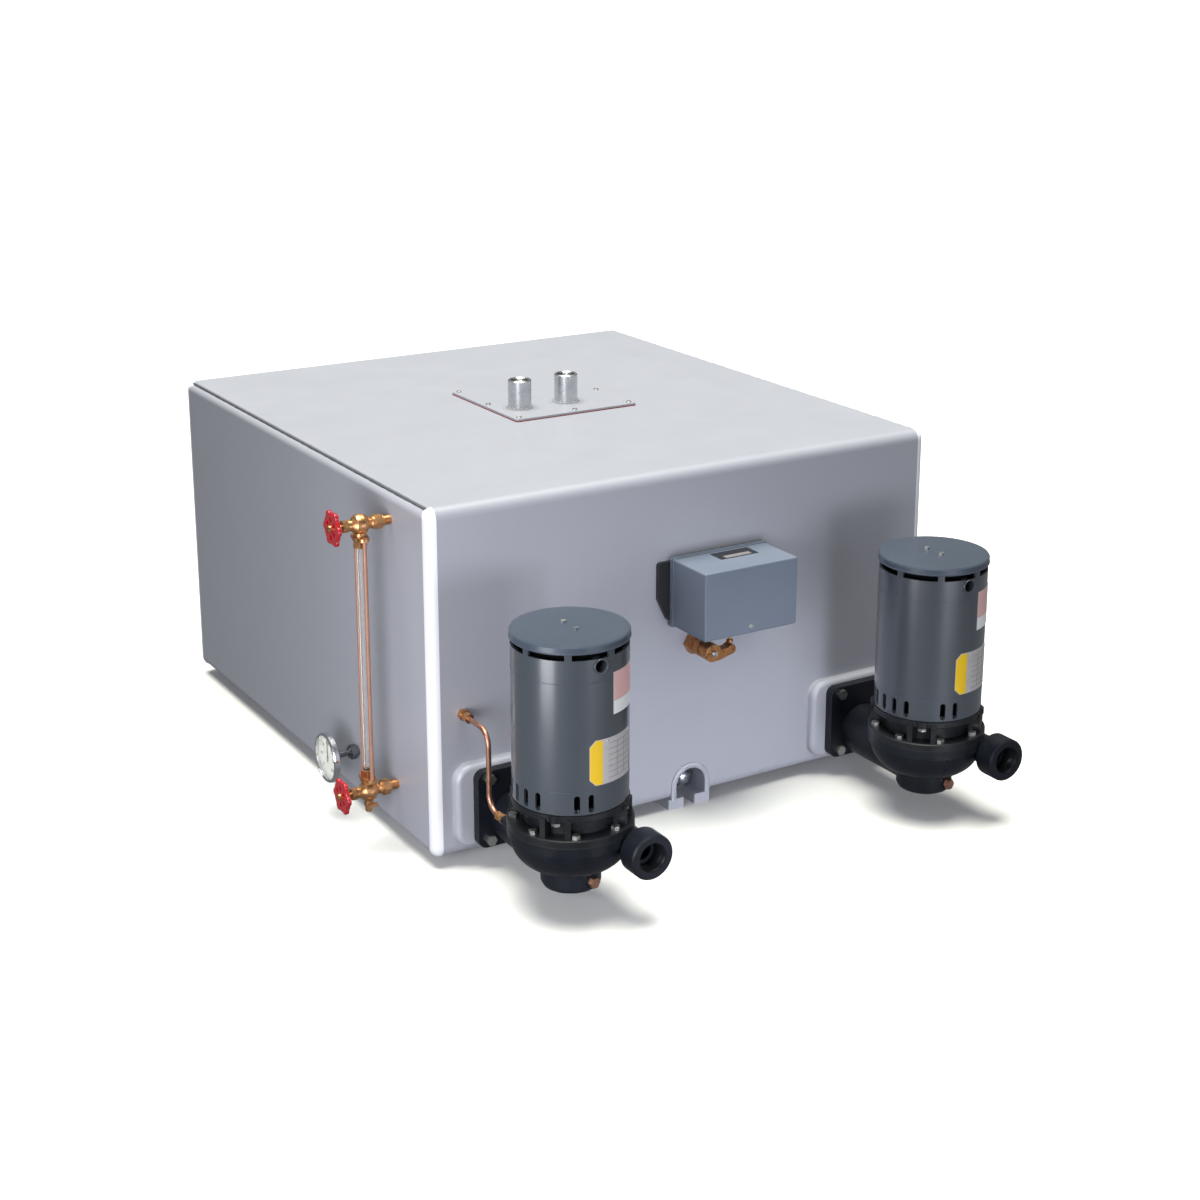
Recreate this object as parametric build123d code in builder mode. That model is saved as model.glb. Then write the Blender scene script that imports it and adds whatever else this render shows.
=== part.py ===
from build123d import *
import math
import os

os.makedirs("parts", exist_ok=True)

# ---------------------------------------------------------------- dimensions
# The frame: +Z up, the floor at z = 0, the pump side faces -Y, the gauge side
# faces -X, and the origin is under the middle of the outline.
cx = 50.0          # x of the receiver's middle plane
fy = -332.0        # y of the receiver's front face
tz = 17.0          # height of the receiver's underside over the floor

tank_w, tank_d, tank_h = 914.0, 978.0, 546.0   # receiver over its ends, depth, height
wall = 4.8                                     # plate thickness
bend_r = 17.0                                  # outer radius of the bent plate
head_show = 10.0                               # how far each end head stands out of the wrap

pump_dx = (("left", -335.0), ("right", 320.0))  # pump shafts from the middle plane
pump_out = 193.0                                # pump shafts in front of the face
pad_w, pad_h, pad_t, pad_z = 180.0, 132.0, 15.0, 82.0
suction_z, suction_r = 60.0, 30.0
flange_w, flange_h, flange_z, flange_t = 126.0, 122.0, 79.0, 15.0
flange_bolt = (44.0, 49.0)

casing_top = 114.0
casing_flange_r = 92.0
nozzle_dx, nozzle_z, nozzle_end = 63.0, 91.0, 121.0
nozzle_r, nozzle_hub_r, nozzle_bore_r = 23.0, 34.0, 22.2
impeller_r = 62.0
shaft_r = 8.0
motor_r, motor_wall = 84.0, 4.0
adapter_low, adapter_high = 115.0, 160.0
bell_split, crown_split, motor_top, cap_top = 195.0, 355.0, 398.0, 411.0
bolt_ring_r = 82.0

arch_r, arch_top = 36.5, 58.0
rim_t, drain_z = 9.5, 24.0
cover_gap, cover_t = 1.6, 3.5
cover_lo, cover_hi = (-96.0, 388.0), (140.0, 626.0)
coupling_x, coupling_y, coupling_r, coupling_bore = (-49.0, 42.0), 462.0, 20.0, 15.2

gauge_y, gauge_x, gauge_lo, gauge_hi = 123.0, -506.0, 80.0, 503.0
wheel_x, wheel_r = -549.0, 28.0
rod_off, rod_r, glass_r = 15.0, 3.2, 6.5
thermo_y, thermo_z, thermo_r = 266.0, 82.0, 40.0

box_lo, box_hi, box_out = (-43.0, 299.0), (129.0, 408.0), 98.0
float_x, float_z, float_y = 0.0, 262.0, 72.0
float_ball_x, float_ball_r = 232.0, 50.0
plunger_x, plunger_y = 34.0, -54.0
vent_z = 227.0
vent_port_z = 107.0


def at(x, y, z):
    """A point given from the middle of the receiver's lower front edge."""
    return (cx + x, fy + y, tz + z)


def flat(x, y, z):
    """A level plane through that point."""
    return Plane(origin=at(x, y, z))


def facing(x, y, z):
    """An upright plane facing the front: local x runs along +X, local y along +Z."""
    return Plane(origin=at(x, y, z), x_dir=(1, 0, 0), z_dir=(0, -1, 0))


def facing_left(x, y, z):
    """An upright plane facing the gauge side: local x runs along -Y, local y along +Z."""
    return Plane(origin=at(x, y, z), x_dir=(0, -1, 0), z_dir=(-1, 0, 0))


def save(part, name):
    part.label = name
    export_step(part, "parts/" + name + ".step")


sides = {side: dx for side, dx in pump_dx}
front_axis = (0, -1, 0)

# ------------------------------------------------------------------ receiver
# One plate bent round into a rectangular tube whose ends take the two heads.
with BuildPart() as tank_wrap:
    with BuildSketch(Plane(origin=at(-tank_w / 2 + head_show, tank_d / 2, tank_h / 2), x_dir=(0, 1, 0), z_dir=(1, 0, 0))):
        RectangleRounded(tank_d, tank_h, bend_r)
        RectangleRounded(tank_d - 2 * wall, tank_h - 2 * wall, bend_r - wall, mode=Mode.SUBTRACT)
    extrude(amount=tank_w - 2 * head_show)
    for end in (0, -1):
        fillet(tank_wrap.faces().sort_by(Axis.X)[end].outer_wire().edges(), 4.2)
    # suction ports behind the pads, holes for the float shaft bush and the vents
    with BuildSketch(facing(0, 10, 0)):
        for side, dx in pump_dx:
            with Locations((dx, suction_z)):
                Circle(suction_r)
        with Locations((float_x, float_z)):
            Circle(12.05)
        with Locations((sides["left"] - 72, vent_z), (sides["right"] + 72, vent_z)):
            Circle(5.05)
    extrude(amount=14, mode=Mode.SUBTRACT)
    # arched drain recess, open to the front and below
    with BuildSketch(facing(0, 70, 0)):
        with Locations((0, arch_top - arch_r)):
            Circle(arch_r)
        with Locations((0, (arch_top - arch_r) / 2 - 1)):
            Rectangle(2 * arch_r, arch_top - arch_r + 2)
    extrude(amount=75, mode=Mode.SUBTRACT)
    # access opening under the cover plate and its screw holes
    with BuildSketch(flat((cover_lo[0] + cover_hi[0]) / 2, (cover_lo[1] + cover_hi[1]) / 2, tank_h - 10)):
        RectangleRounded(196, 198, 8)
        with GridLocations(216, 218, 2, 2):
            Circle(3.05)
        with GridLocations(0, 218, 1, 2):
            Circle(3.05)
        with GridLocations(216, 0, 2, 1):
            Circle(3.05)
    extrude(amount=12, mode=Mode.SUBTRACT)
save(tank_wrap.part, "tank_wrap")

# Flanged end heads, dished like a shallow tray and set into the wrap.
for side, sgn in (("left", -1), ("right", 1)):
    with BuildPart() as head:
        with BuildSketch(Plane(origin=at(sgn * (tank_w / 2 - 32), tank_d / 2, tank_h / 2), x_dir=(0, 1, 0), z_dir=(sgn, 0, 0))):
            RectangleRounded(tank_d - 2 * wall - 0.1, tank_h - 2 * wall - 0.1, bend_r - wall)
        extrude(amount=32)
        outer = head.faces().sort_by(Axis.X)[0 if sgn < 0 else -1]
        fillet(outer.edges(), 11.5)
        inner = head.faces().sort_by(Axis.X)[-1 if sgn < 0 else 0]
        offset(amount=-wall, openings=inner)
        if side == "left":
            with BuildSketch(facing_left(-tank_w / 2 + 10, 0, 0)):
                with Locations((-gauge_y, gauge_lo), (-gauge_y, gauge_hi)):
                    Circle(7.05)
                with Locations((-thermo_y, thermo_z)):
                    Circle(7.05)
            extrude(amount=12, mode=Mode.SUBTRACT)
    save(head.part, "tank_head_" + side)

# Raised machined pads that the pumps bolt to.
with BuildPart() as pads:
    for side, dx in pump_dx:
        with BuildSketch(facing(dx, 0, pad_z)):
            RectangleRounded(pad_w, pad_h, 26)
        extrude(amount=pad_t)
    rims = pads.faces().filter_by(Plane.XZ).group_by(Axis.Y)[0].edges()
    fillet(rims, 8)
    for side, dx in pump_dx:
        with BuildSketch(facing(dx, 5, suction_z)):
            Circle(suction_r)
        extrude(amount=30, mode=Mode.SUBTRACT)
        with BuildSketch(facing(dx, -3, flange_z)):
            with GridLocations(2 * flange_bolt[0], 2 * flange_bolt[1], 2, 2):
                Circle(5.05)
        extrude(amount=20, mode=Mode.SUBTRACT)
save(pads.part, "pump_pads")

# Two flat bars under the receiver carry it on the floor.
with BuildPart() as rails:
    with Locations(at(-380, tank_d / 2, -tz / 2), at(380, tank_d / 2, -tz / 2)):
        Box(50, tank_d - 140, tz)
save(rails.part, "base_rails")

# Arched pocket that houses the drain, with a rim standing out of the face.
with BuildPart() as pocket:
    with BuildSketch(facing(0, 70, 0)):
        with Locations((0, arch_top - arch_r)):
            Circle(arch_r - 0.05)
        with Locations((0, (arch_top - arch_r) / 2)):
            Rectangle(2 * arch_r - 0.1, arch_top - arch_r)
        with Locations((0, -arch_r)):
            Rectangle(4 * arch_r, 2 * arch_r, mode=Mode.SUBTRACT)
    extrude(amount=72.5)
    with BuildSketch(facing(0, 65.5, 0)):
        with Locations((0, arch_top - arch_r)):
            Circle(arch_r - rim_t)
        with Locations((0, (arch_top - arch_r) / 2 - 5)):
            Rectangle(2 * (arch_r - rim_t), arch_top - arch_r + 10)
    extrude(amount=80, mode=Mode.SUBTRACT)
    with BuildSketch(facing(0, 75, drain_z)):
        Circle(14)
    extrude(amount=20, mode=Mode.SUBTRACT)
    lip = pocket.faces().filter_by(Plane.XZ).sort_by(Axis.Y)[0]
    fillet(lip.edges().filter_by(GeomType.CIRCLE), 1.6)
save(pocket.part, "drain_pocket")

with BuildPart() as feet:
    with Locations(at(-25.5, 31, -tz / 2), at(24, 31, -tz / 2)):
        Box(29, 60, tz)
    fillet(feet.edges().filter_by(Axis.Z), 1.5)
save(feet.part, "drain_feet")

# Drain: a half coupling on the pocket's back wall, closed by a domed plug.
with BuildPart() as drain_coupling:
    with BuildSketch(facing(0, 65.5, drain_z)):
        Circle(18)
        Circle(14, mode=Mode.SUBTRACT)
    extrude(amount=25)
save(drain_coupling.part, "drain_coupling")

with BuildPart() as drain_plug:
    with BuildSketch(flat(0, 0, drain_z)):
        with BuildLine():
            Spline((0, 12), (7, 12.9), (13, 16), (17.4, 21), (19.7, 27.5), (20, 31), tangents=((1, 0), (0, 1)))
            Polyline((20, 31), (20, 40.2), (13.95, 40.2), (13.95, 60), (0, 60), (0, 12))
        make_face()
    revolve(axis=Axis(at(0, 0, drain_z), (0, 1, 0)))
save(drain_plug.part, "drain_plug")

# ------------------------------------------------------- cover and couplings
cover_mid = ((cover_lo[0] + cover_hi[0]) / 2, (cover_lo[1] + cover_hi[1]) / 2)
cover_w, cover_d = cover_hi[0] - cover_lo[0], cover_hi[1] - cover_lo[1]
with BuildPart() as gasket:
    with BuildSketch(flat(*cover_mid, tank_h)):
        RectangleRounded(cover_w, cover_d, 5)
        RectangleRounded(196, 198, 8, mode=Mode.SUBTRACT)
        with GridLocations(216, 218, 2, 2):
            Circle(3.05, mode=Mode.SUBTRACT)
        with GridLocations(0, 218, 1, 2):
            Circle(3.05, mode=Mode.SUBTRACT)
        with GridLocations(216, 0, 2, 1):
            Circle(3.05, mode=Mode.SUBTRACT)
    extrude(amount=cover_gap)
save(gasket.part, "cover_gasket")

with BuildPart() as cover:
    with BuildSketch(flat(*cover_mid, tank_h + cover_gap)):
        RectangleRounded(cover_w - 1, cover_d - 1, 5)
        with GridLocations(216, 218, 2, 2):
            Circle(3.05, mode=Mode.SUBTRACT)
        with GridLocations(0, 218, 1, 2):
            Circle(3.05, mode=Mode.SUBTRACT)
        with GridLocations(216, 0, 2, 1):
            Circle(3.05, mode=Mode.SUBTRACT)
    extrude(amount=cover_t)
    with BuildSketch(flat(0, coupling_y, tank_h)):
        with Locations((coupling_x[0], 0), (coupling_x[1], 0)):
            Circle(coupling_r + 0.02)
    extrude(amount=20, mode=Mode.SUBTRACT)
    fillet(cover.faces().sort_by(Axis.Z)[-1].outer_wire().edges(), 1.0)
save(cover.part, "cover_plate")

with BuildPart() as cover_screws:
    with BuildSketch(flat(*cover_mid, tank_h - 8)):
        with GridLocations(216, 218, 2, 2):
            Circle(3)
        with GridLocations(0, 218, 1, 2):
            Circle(3)
        with GridLocations(216, 0, 2, 1):
            Circle(3)
    extrude(amount=8 + cover_gap + cover_t)
    with BuildSketch(flat(*cover_mid, tank_h + cover_gap + cover_t)):
        with GridLocations(216, 218, 2, 2):
            Circle(4.6)
        with GridLocations(0, 218, 1, 2):
            Circle(4.6)
        with GridLocations(216, 0, 2, 1):
            Circle(4.6)
    extrude(amount=2)
    fillet(cover_screws.faces().group_by(Axis.Z)[-1].edges(), 0.8)
save(cover_screws.part, "cover_screws")

with BuildPart() as couplings:
    for x in coupling_x:
        with BuildSketch(facing(x, coupling_y, tank_h)):
            with BuildLine():
                Polyline((coupling_bore, 0), (coupling_r, 0), (coupling_r, 52.4), (coupling_r - 1.6, 54), (coupling_bore + 1.6, 54), (coupling_bore, 52.4), close=True)
            make_face()
        revolve(axis=Axis(at(x, coupling_y, 0), (0, 0, 1)))
save(couplings.part, "top_couplings")

# --------------------------------------------------------------- water gauge
# Each valve: shank into the receiver, round body, glass socket and rod plate.
for name, zc, up in (("upper", gauge_hi, -1), ("lower", gauge_lo, 1)):
    with BuildPart() as valve:
        with BuildSketch(flat(0, gauge_y, zc)):
            with BuildLine():
                Polyline(
                    (-446, 0), (-446, 7), (-470, 7), (-470, 9.5), (-488, 9.5), (-490, 7.5), (-492, 7.5), (-494, 10.5), (-498, 14),
                    (-503, 15.6), (-509, 15.6), (-514, 14), (-518, 10.5), (-520, 8.5), (-526, 8.5), (-526, 0), close=True)
            make_face()
        revolve(axis=Axis(at(0, gauge_y, zc), (1, 0, 0)))
        with BuildSketch(Plane(origin=at(-472, gauge_y, zc), x_dir=(0, 1, 0), z_dir=(-1, 0, 0))):
            RegularPolygon(12.5 if name == "lower" else 11.5, 6)
        extrude(amount=12)
        with BuildSketch(flat(gauge_x, gauge_y, zc)):
            Circle(9.5)
        extrude(amount=up * 18)
        with BuildSketch(flat(gauge_x, gauge_y, zc + up * 18)):
            SlotOverall(2 * (rod_off + rod_r + 2.6), 18, rotation=90)
            Circle(12)
        extrude(amount=up * 5)
        # bores: glass, rods, valve stem, water way
        with BuildSketch(flat(gauge_x, gauge_y, zc)):
            Circle(glass_r + 0.06)
        extrude(amount=up * 40, mode=Mode.SUBTRACT)
        with BuildSketch(flat(gauge_x, gauge_y, zc + up * 17)):
            with Locations((0, rod_off), (0, -rod_off)):
                Circle(rod_r + 0.03)
        extrude(amount=up * 10, mode=Mode.SUBTRACT)
        with BuildSketch(Plane(origin=at(-530, gauge_y, zc), x_dir=(0, 1, 0), z_dir=(1, 0, 0))):
            Circle(3.6)
        extrude(amount=40, mode=Mode.SUBTRACT)
        with BuildSketch(Plane(origin=at(-495, gauge_y, zc), x_dir=(0, 1, 0), z_dir=(1, 0, 0))):
            Circle(2.4)
        extrude(amount=60, mode=Mode.SUBTRACT)
        if name == "lower":
            with BuildSketch(facing(gauge_x, gauge_y, 0)):
                with BuildLine():
                    Polyline((0, 68), (7, 68), (7, 56), (5.5, 54.5), (5.5, 47), (4.2, 46), (0, 46), close=True)
                make_face()
            revolve(axis=Axis(at(gauge_x, gauge_y, 0), (0, 0, 1)))
            with BuildSketch(facing(gauge_x, gauge_y + 12, 61)):
                Circle(2.55)
            extrude(amount=24, mode=Mode.SUBTRACT)
            with BuildSketch(flat(gauge_x, gauge_y, 44)):
                Circle(2.2)
            extrude(amount=8, mode=Mode.SUBTRACT)
    save(valve.part, "gauge_valve_" + name)

with BuildPart() as glass:
    with BuildSketch(flat(gauge_x, gauge_y, gauge_lo + 6)):
        Circle(glass_r)
        Circle(glass_r - 2, mode=Mode.SUBTRACT)
    extrude(amount=gauge_hi - gauge_lo - 12)
save(glass.part, "gauge_glass")

with BuildPart() as rods:
    with BuildSketch(flat(gauge_x, gauge_y, gauge_lo + 17.5)):
        with Locations((0, rod_off), (0, -rod_off)):
            Circle(rod_r)
    extrude(amount=gauge_hi - gauge_lo - 35)
save(rods.part, "gauge_rods")

# Hexagon packing nuts: one round each end of the glass, one round each stem.
with BuildPart() as nuts:
    with BuildSketch(flat(gauge_x, gauge_y, gauge_lo + 23)):
        RegularPolygon(11.4, 6)
        Circle(glass_r + 0.06, mode=Mode.SUBTRACT)
    extrude(amount=12)
    with BuildSketch(flat(gauge_x, gauge_y, gauge_hi - 35)):
        RegularPolygon(11.4, 6)
        Circle(glass_r + 0.06, mode=Mode.SUBTRACT)
    extrude(amount=12)
    for zc in (gauge_lo, gauge_hi):
        with BuildSketch(Plane(origin=at(-526, gauge_y, zc), x_dir=(0, 1, 0), z_dir=(-1, 0, 0))):
            RegularPolygon(9.5, 6)
            Circle(3.06, mode=Mode.SUBTRACT)
        extrude(amount=9)
save(nuts.part, "gauge_nuts")

for name, zc in (("upper", gauge_hi), ("lower", gauge_lo)):
    with BuildPart() as stem:
        with BuildSketch(flat(0, gauge_y, zc)):
            with BuildLine():
                Polyline((-497, 0), (-500, 2.4), (-503, 3), (-540.5, 3), (-540.5, 5), (-544.5, 5), (-544.5, 3), (-552.9, 3), (-552.9, 5.6), (-556, 5.2), (-557, 3.6), (-557, 0), close=True)
            make_face()
        revolve(axis=Axis(at(0, gauge_y, zc), (1, 0, 0)))
    save(stem.part, "gauge_stem_" + name)

    # cast handwheel with six lobes and six windows
    with BuildPart() as wheel:
        with BuildSketch(Plane(origin=at(wheel_x + 3.2, gauge_y, zc), x_dir=(0, 1, 0), z_dir=(-1, 0, 0))):
            Circle(24.2)
            with PolarLocations(20.4, 6):
                Circle(wheel_r - 20.4)
            with PolarLocations(13.2, 6, start_angle=30):
                Circle(3.4, mode=Mode.SUBTRACT)
        extrude(amount=6.4)
        fillet(wheel.faces().sort_by(Axis.X)[0].outer_wire().edges(), 1.8)
        fillet(wheel.faces().sort_by(Axis.X)[-1].outer_wire().edges(), 1.8)
        with BuildSketch(Plane(origin=at(wheel_x + 4.4, gauge_y, zc), x_dir=(0, 1, 0), z_dir=(-1, 0, 0))):
            Circle(8)
        extrude(amount=8.2)
        with BuildSketch(Plane(origin=at(wheel_x + 10, gauge_y, zc), x_dir=(0, 1, 0), z_dir=(-1, 0, 0))):
            Circle(3.06)
        extrude(amount=20, mode=Mode.SUBTRACT)
    save(wheel.part, "gauge_wheel_" + name)

# Key of the small drain cock under the lower valve.
with BuildPart() as key:
    with BuildSketch(facing(gauge_x, gauge_y + 11, 61)):
        Circle(2.5)
    extrude(amount=24.5)
    with BuildSketch(facing(gauge_x, gauge_y - 13, 61)):
        SlotOverall(18, 6)
    extrude(amount=3.2)
save(key.part, "drain_cock_key")

# --------------------------------------------------------------- thermometer
with BuildPart() as thermo:
    with BuildSketch(flat(0, thermo_y, thermo_z)):
        with BuildLine():
            Polyline(
                (-396, 0), (-396, 4.6), (-398, 5.5), (-446, 5.5), (-446, 7), (-462, 7), (-462, 9), (-474, 9), (-474, 5), (-496, 5), (-498, 9),
                (-501, 13), (-503, 36), (-505, 39), (-506, thermo_r), (-513, thermo_r), (-515, 38.5), (-515, 36), (-507.2, 35.4), (-507.2, 0), close=True)
        make_face()
    revolve(axis=Axis(at(0, thermo_y, thermo_z), (1, 0, 0)))
    with BuildSketch(Plane(origin=at(-462, thermo_y, thermo_z), x_dir=(0, 1, 0), z_dir=(-1, 0, 0))):
        RegularPolygon(12, 6)
    extrude(amount=10)
    with BuildSketch(Plane(origin=at(-508, thermo_y, thermo_z), x_dir=(0, 1, 0), z_dir=(1, 0, 0))):
        Circle(1.05)
    extrude(amount=6, mode=Mode.SUBTRACT)
save(thermo.part, "thermometer_case")

with BuildPart() as dial:
    with BuildSketch(Plane(origin=at(-507.2, thermo_y, thermo_z), x_dir=(0, 1, 0), z_dir=(-1, 0, 0))):
        Circle(35.2)
        Circle(1.2, mode=Mode.SUBTRACT)
    extrude(amount=0.8)
save(dial.part, "thermometer_dial")

with BuildPart() as pointer:
    with BuildSketch(Plane(origin=at(-508.6, thermo_y, thermo_z), x_dir=(0, -1, 0), z_dir=(-1, 0, 0))):
        Circle(2.6)
        with BuildLine():
            Polyline((-1.3, -8), (1.3, -8), (1.1, 0), (0.35, 29), (-0.35, 29), (-1.1, 0), close=True)
        make_face()
    extrude(amount=0.7)
    with BuildSketch(Plane(origin=at(-509.6, thermo_y, thermo_z), x_dir=(0, 1, 0), z_dir=(1, 0, 0))):
        Circle(0.95)
    extrude(amount=5)
save(pointer.part, "thermometer_pointer")

with BuildPart() as lens:
    with BuildSketch(Plane(origin=at(-512, thermo_y, thermo_z), x_dir=(0, 1, 0), z_dir=(-1, 0, 0))):
        Circle(35.3)
    extrude(amount=2)
save(lens.part, "thermometer_lens")

# -------------------------------------------------------------- float switch
box_w, box_h = box_hi[0] - box_lo[0], box_hi[1] - box_lo[1]
box_mx, box_mz = (box_lo[0] + box_hi[0]) / 2, (box_lo[1] + box_hi[1]) / 2
back_t, bracket_t = 3.0, 6.0
with BuildPart() as bracket:
    with BuildSketch(facing(0, 0, 0)):
        with BuildLine():
            Polyline((-68, 404), (68, 404), (68, 345), (50, 308), (-50, 308), (-68, 345), close=True)
        make_face()
    extrude(amount=bracket_t)
    fillet(bracket.edges().filter_by(Axis.Y), 6)
    fillet(bracket.faces().sort_by(Axis.Y)[0].edges(), 1)
    with BuildSketch(facing(box_mx, -bracket_t, box_mz)):
        RectangleRounded(box_w + 6, box_h + 4, 3)
    extrude(amount=back_t)
save(bracket.part, "switch_bracket")

with BuildPart() as switch_cover:
    with BuildSketch(facing(box_mx, -bracket_t - back_t, box_mz)):
        Rectangle(box_w, box_h)
    extrude(amount=box_out - bracket_t - back_t)
    fillet(switch_cover.edges().filter_by(Axis.Y), 3)
    fillet(switch_cover.faces().sort_by(Axis.Y)[0].edges(), 2.5)
    offset(amount=-1.6, openings=switch_cover.faces().sort_by(Axis.Y)[-1])
    with BuildSketch(flat(plunger_x, plunger_y, box_lo[1] - 5)):
        RectangleRounded(16, 14, 3)
    extrude(amount=10, mode=Mode.SUBTRACT)
save(switch_cover.part, "switch_cover")

with BuildPart() as contacts:
    with Locations(at(plunger_x, -37.5, 362)):
        Box(46, 57, 44)
    chamfer(contacts.edges().filter_by(Axis.Y), 2)
    with BuildSketch(flat(plunger_x, plunger_y, 330)):
        Circle(3.06)
    extrude(amount=70, mode=Mode.SUBTRACT)
    with Locations(at(plunger_x - 14, -66, 370), at(plunger_x + 14, -66, 370), at(plunger_x - 14, -66, 350), at(plunger_x + 14, -66, 350)):
        Cylinder(4, 4, rotation=(90, 0, 0))
save(contacts.part, "switch_contacts")

with BuildPart() as plunger:
    with BuildSketch(facing(plunger_x, plunger_y, 0)):
        with BuildLine():
            Polyline((0, 271.2), (3.6, 271.2), (5, 272.6), (5, 277), (3, 278), (3, 361), (2, 362), (0, 362), close=True)
        make_face()
    revolve(axis=Axis(at(plunger_x, plunger_y, 0), (0, 0, 1)))
save(plunger.part, "switch_plunger")

with BuildPart() as bush:
    with BuildSketch(flat(float_x, 0, float_z)):
        with BuildLine():
            Polyline((5.05, 22), (10, 22), (12, 20), (12, 0), (14.5, 0), (14.5, -20), (12.5, -20), (12.5, -38), (11, -40), (5.05, -40), close=True)
        make_face()
    revolve(axis=Axis(at(float_x, 0, float_z), (0, 1, 0)))
    with BuildSketch(facing(float_x, 0, float_z)):
        RegularPolygon(17, 6)
        Circle(10, mode=Mode.SUBTRACT)
    extrude(amount=14)
    with BuildSketch(facing(float_x, -22, float_z)):
        RegularPolygon(15, 6, rotation=15)
        Circle(10, mode=Mode.SUBTRACT)
    extrude(amount=13)
save(bush.part, "float_bushing")

with BuildPart() as float_shaft:
    with BuildSketch(facing(float_x, float_y + 12, float_z)):
        Circle(5)
    extrude(amount=float_y + 12 + 66)
    chamfer(float_shaft.faces().filter_by(Plane.XZ).edges(), 0.8)
save(float_shaft.part, "float_shaft")

# Lever clamped on the outer end of the float shaft; its toe lifts the plunger.
with BuildPart() as lever:
    with BuildSketch(facing(float_x, -45, float_z)):
        Circle(14.5)
        with BuildLine():
            Polyline((0, 4.5), (34, 4.5), (38, -6.5), (12, -13.5), (0, -14), close=True)
        make_face()
        with Locations((plunger_x, 0)):
            Circle(8)
    extrude(amount=16)
    with BuildSketch(facing(float_x, -40, float_z)):
        Circle(5.0)
    extrude(amount=30, mode=Mode.SUBTRACT)
    fillet(lever.faces().sort_by(Axis.Y)[0].outer_wire().edges(), 1.2)
save(lever.part, "float_lever")

with BuildPart() as float_rod:
    with BuildSketch(facing(float_x, float_y + 9, float_z)):
        Circle(11)
        Circle(5.0, mode=Mode.SUBTRACT)
    extrude(amount=18)
    with BuildSketch(Plane(origin=at(float_x + 9.5, float_y, float_z), x_dir=(0, 1, 0), z_dir=(1, 0, 0))):
        Circle(4)
    extrude(amount=float_ball_x - float_ball_r - 9.5)
save(float_rod.part, "float_rod")

with BuildPart() as ball:
    with BuildSketch(flat(float_ball_x, float_y, float_z)):
        Circle(float_ball_r)
        Circle(float_ball_r - 1.2, mode=Mode.SUBTRACT)
        with Locations((0, -float_ball_r)):
            Rectangle(3 * float_ball_r, 2 * float_ball_r, mode=Mode.SUBTRACT)
    revolve(axis=Axis(at(float_ball_x, float_y, float_z), (1, 0, 0)))
    with BuildSketch(Plane(origin=at(float_ball_x - float_ball_r - 4, float_y, float_z), x_dir=(0, 1, 0), z_dir=(1, 0, 0))):
        Circle(8)
        Circle(4.0, mode=Mode.SUBTRACT)
    extrude(amount=7)
    with BuildSketch(Plane(origin=at(float_ball_x - float_ball_r, float_y, float_z), x_dir=(0, 1, 0), z_dir=(1, 0, 0))):
        Circle(8)
    extrude(amount=3)
save(ball.part, "float_ball")

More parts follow.
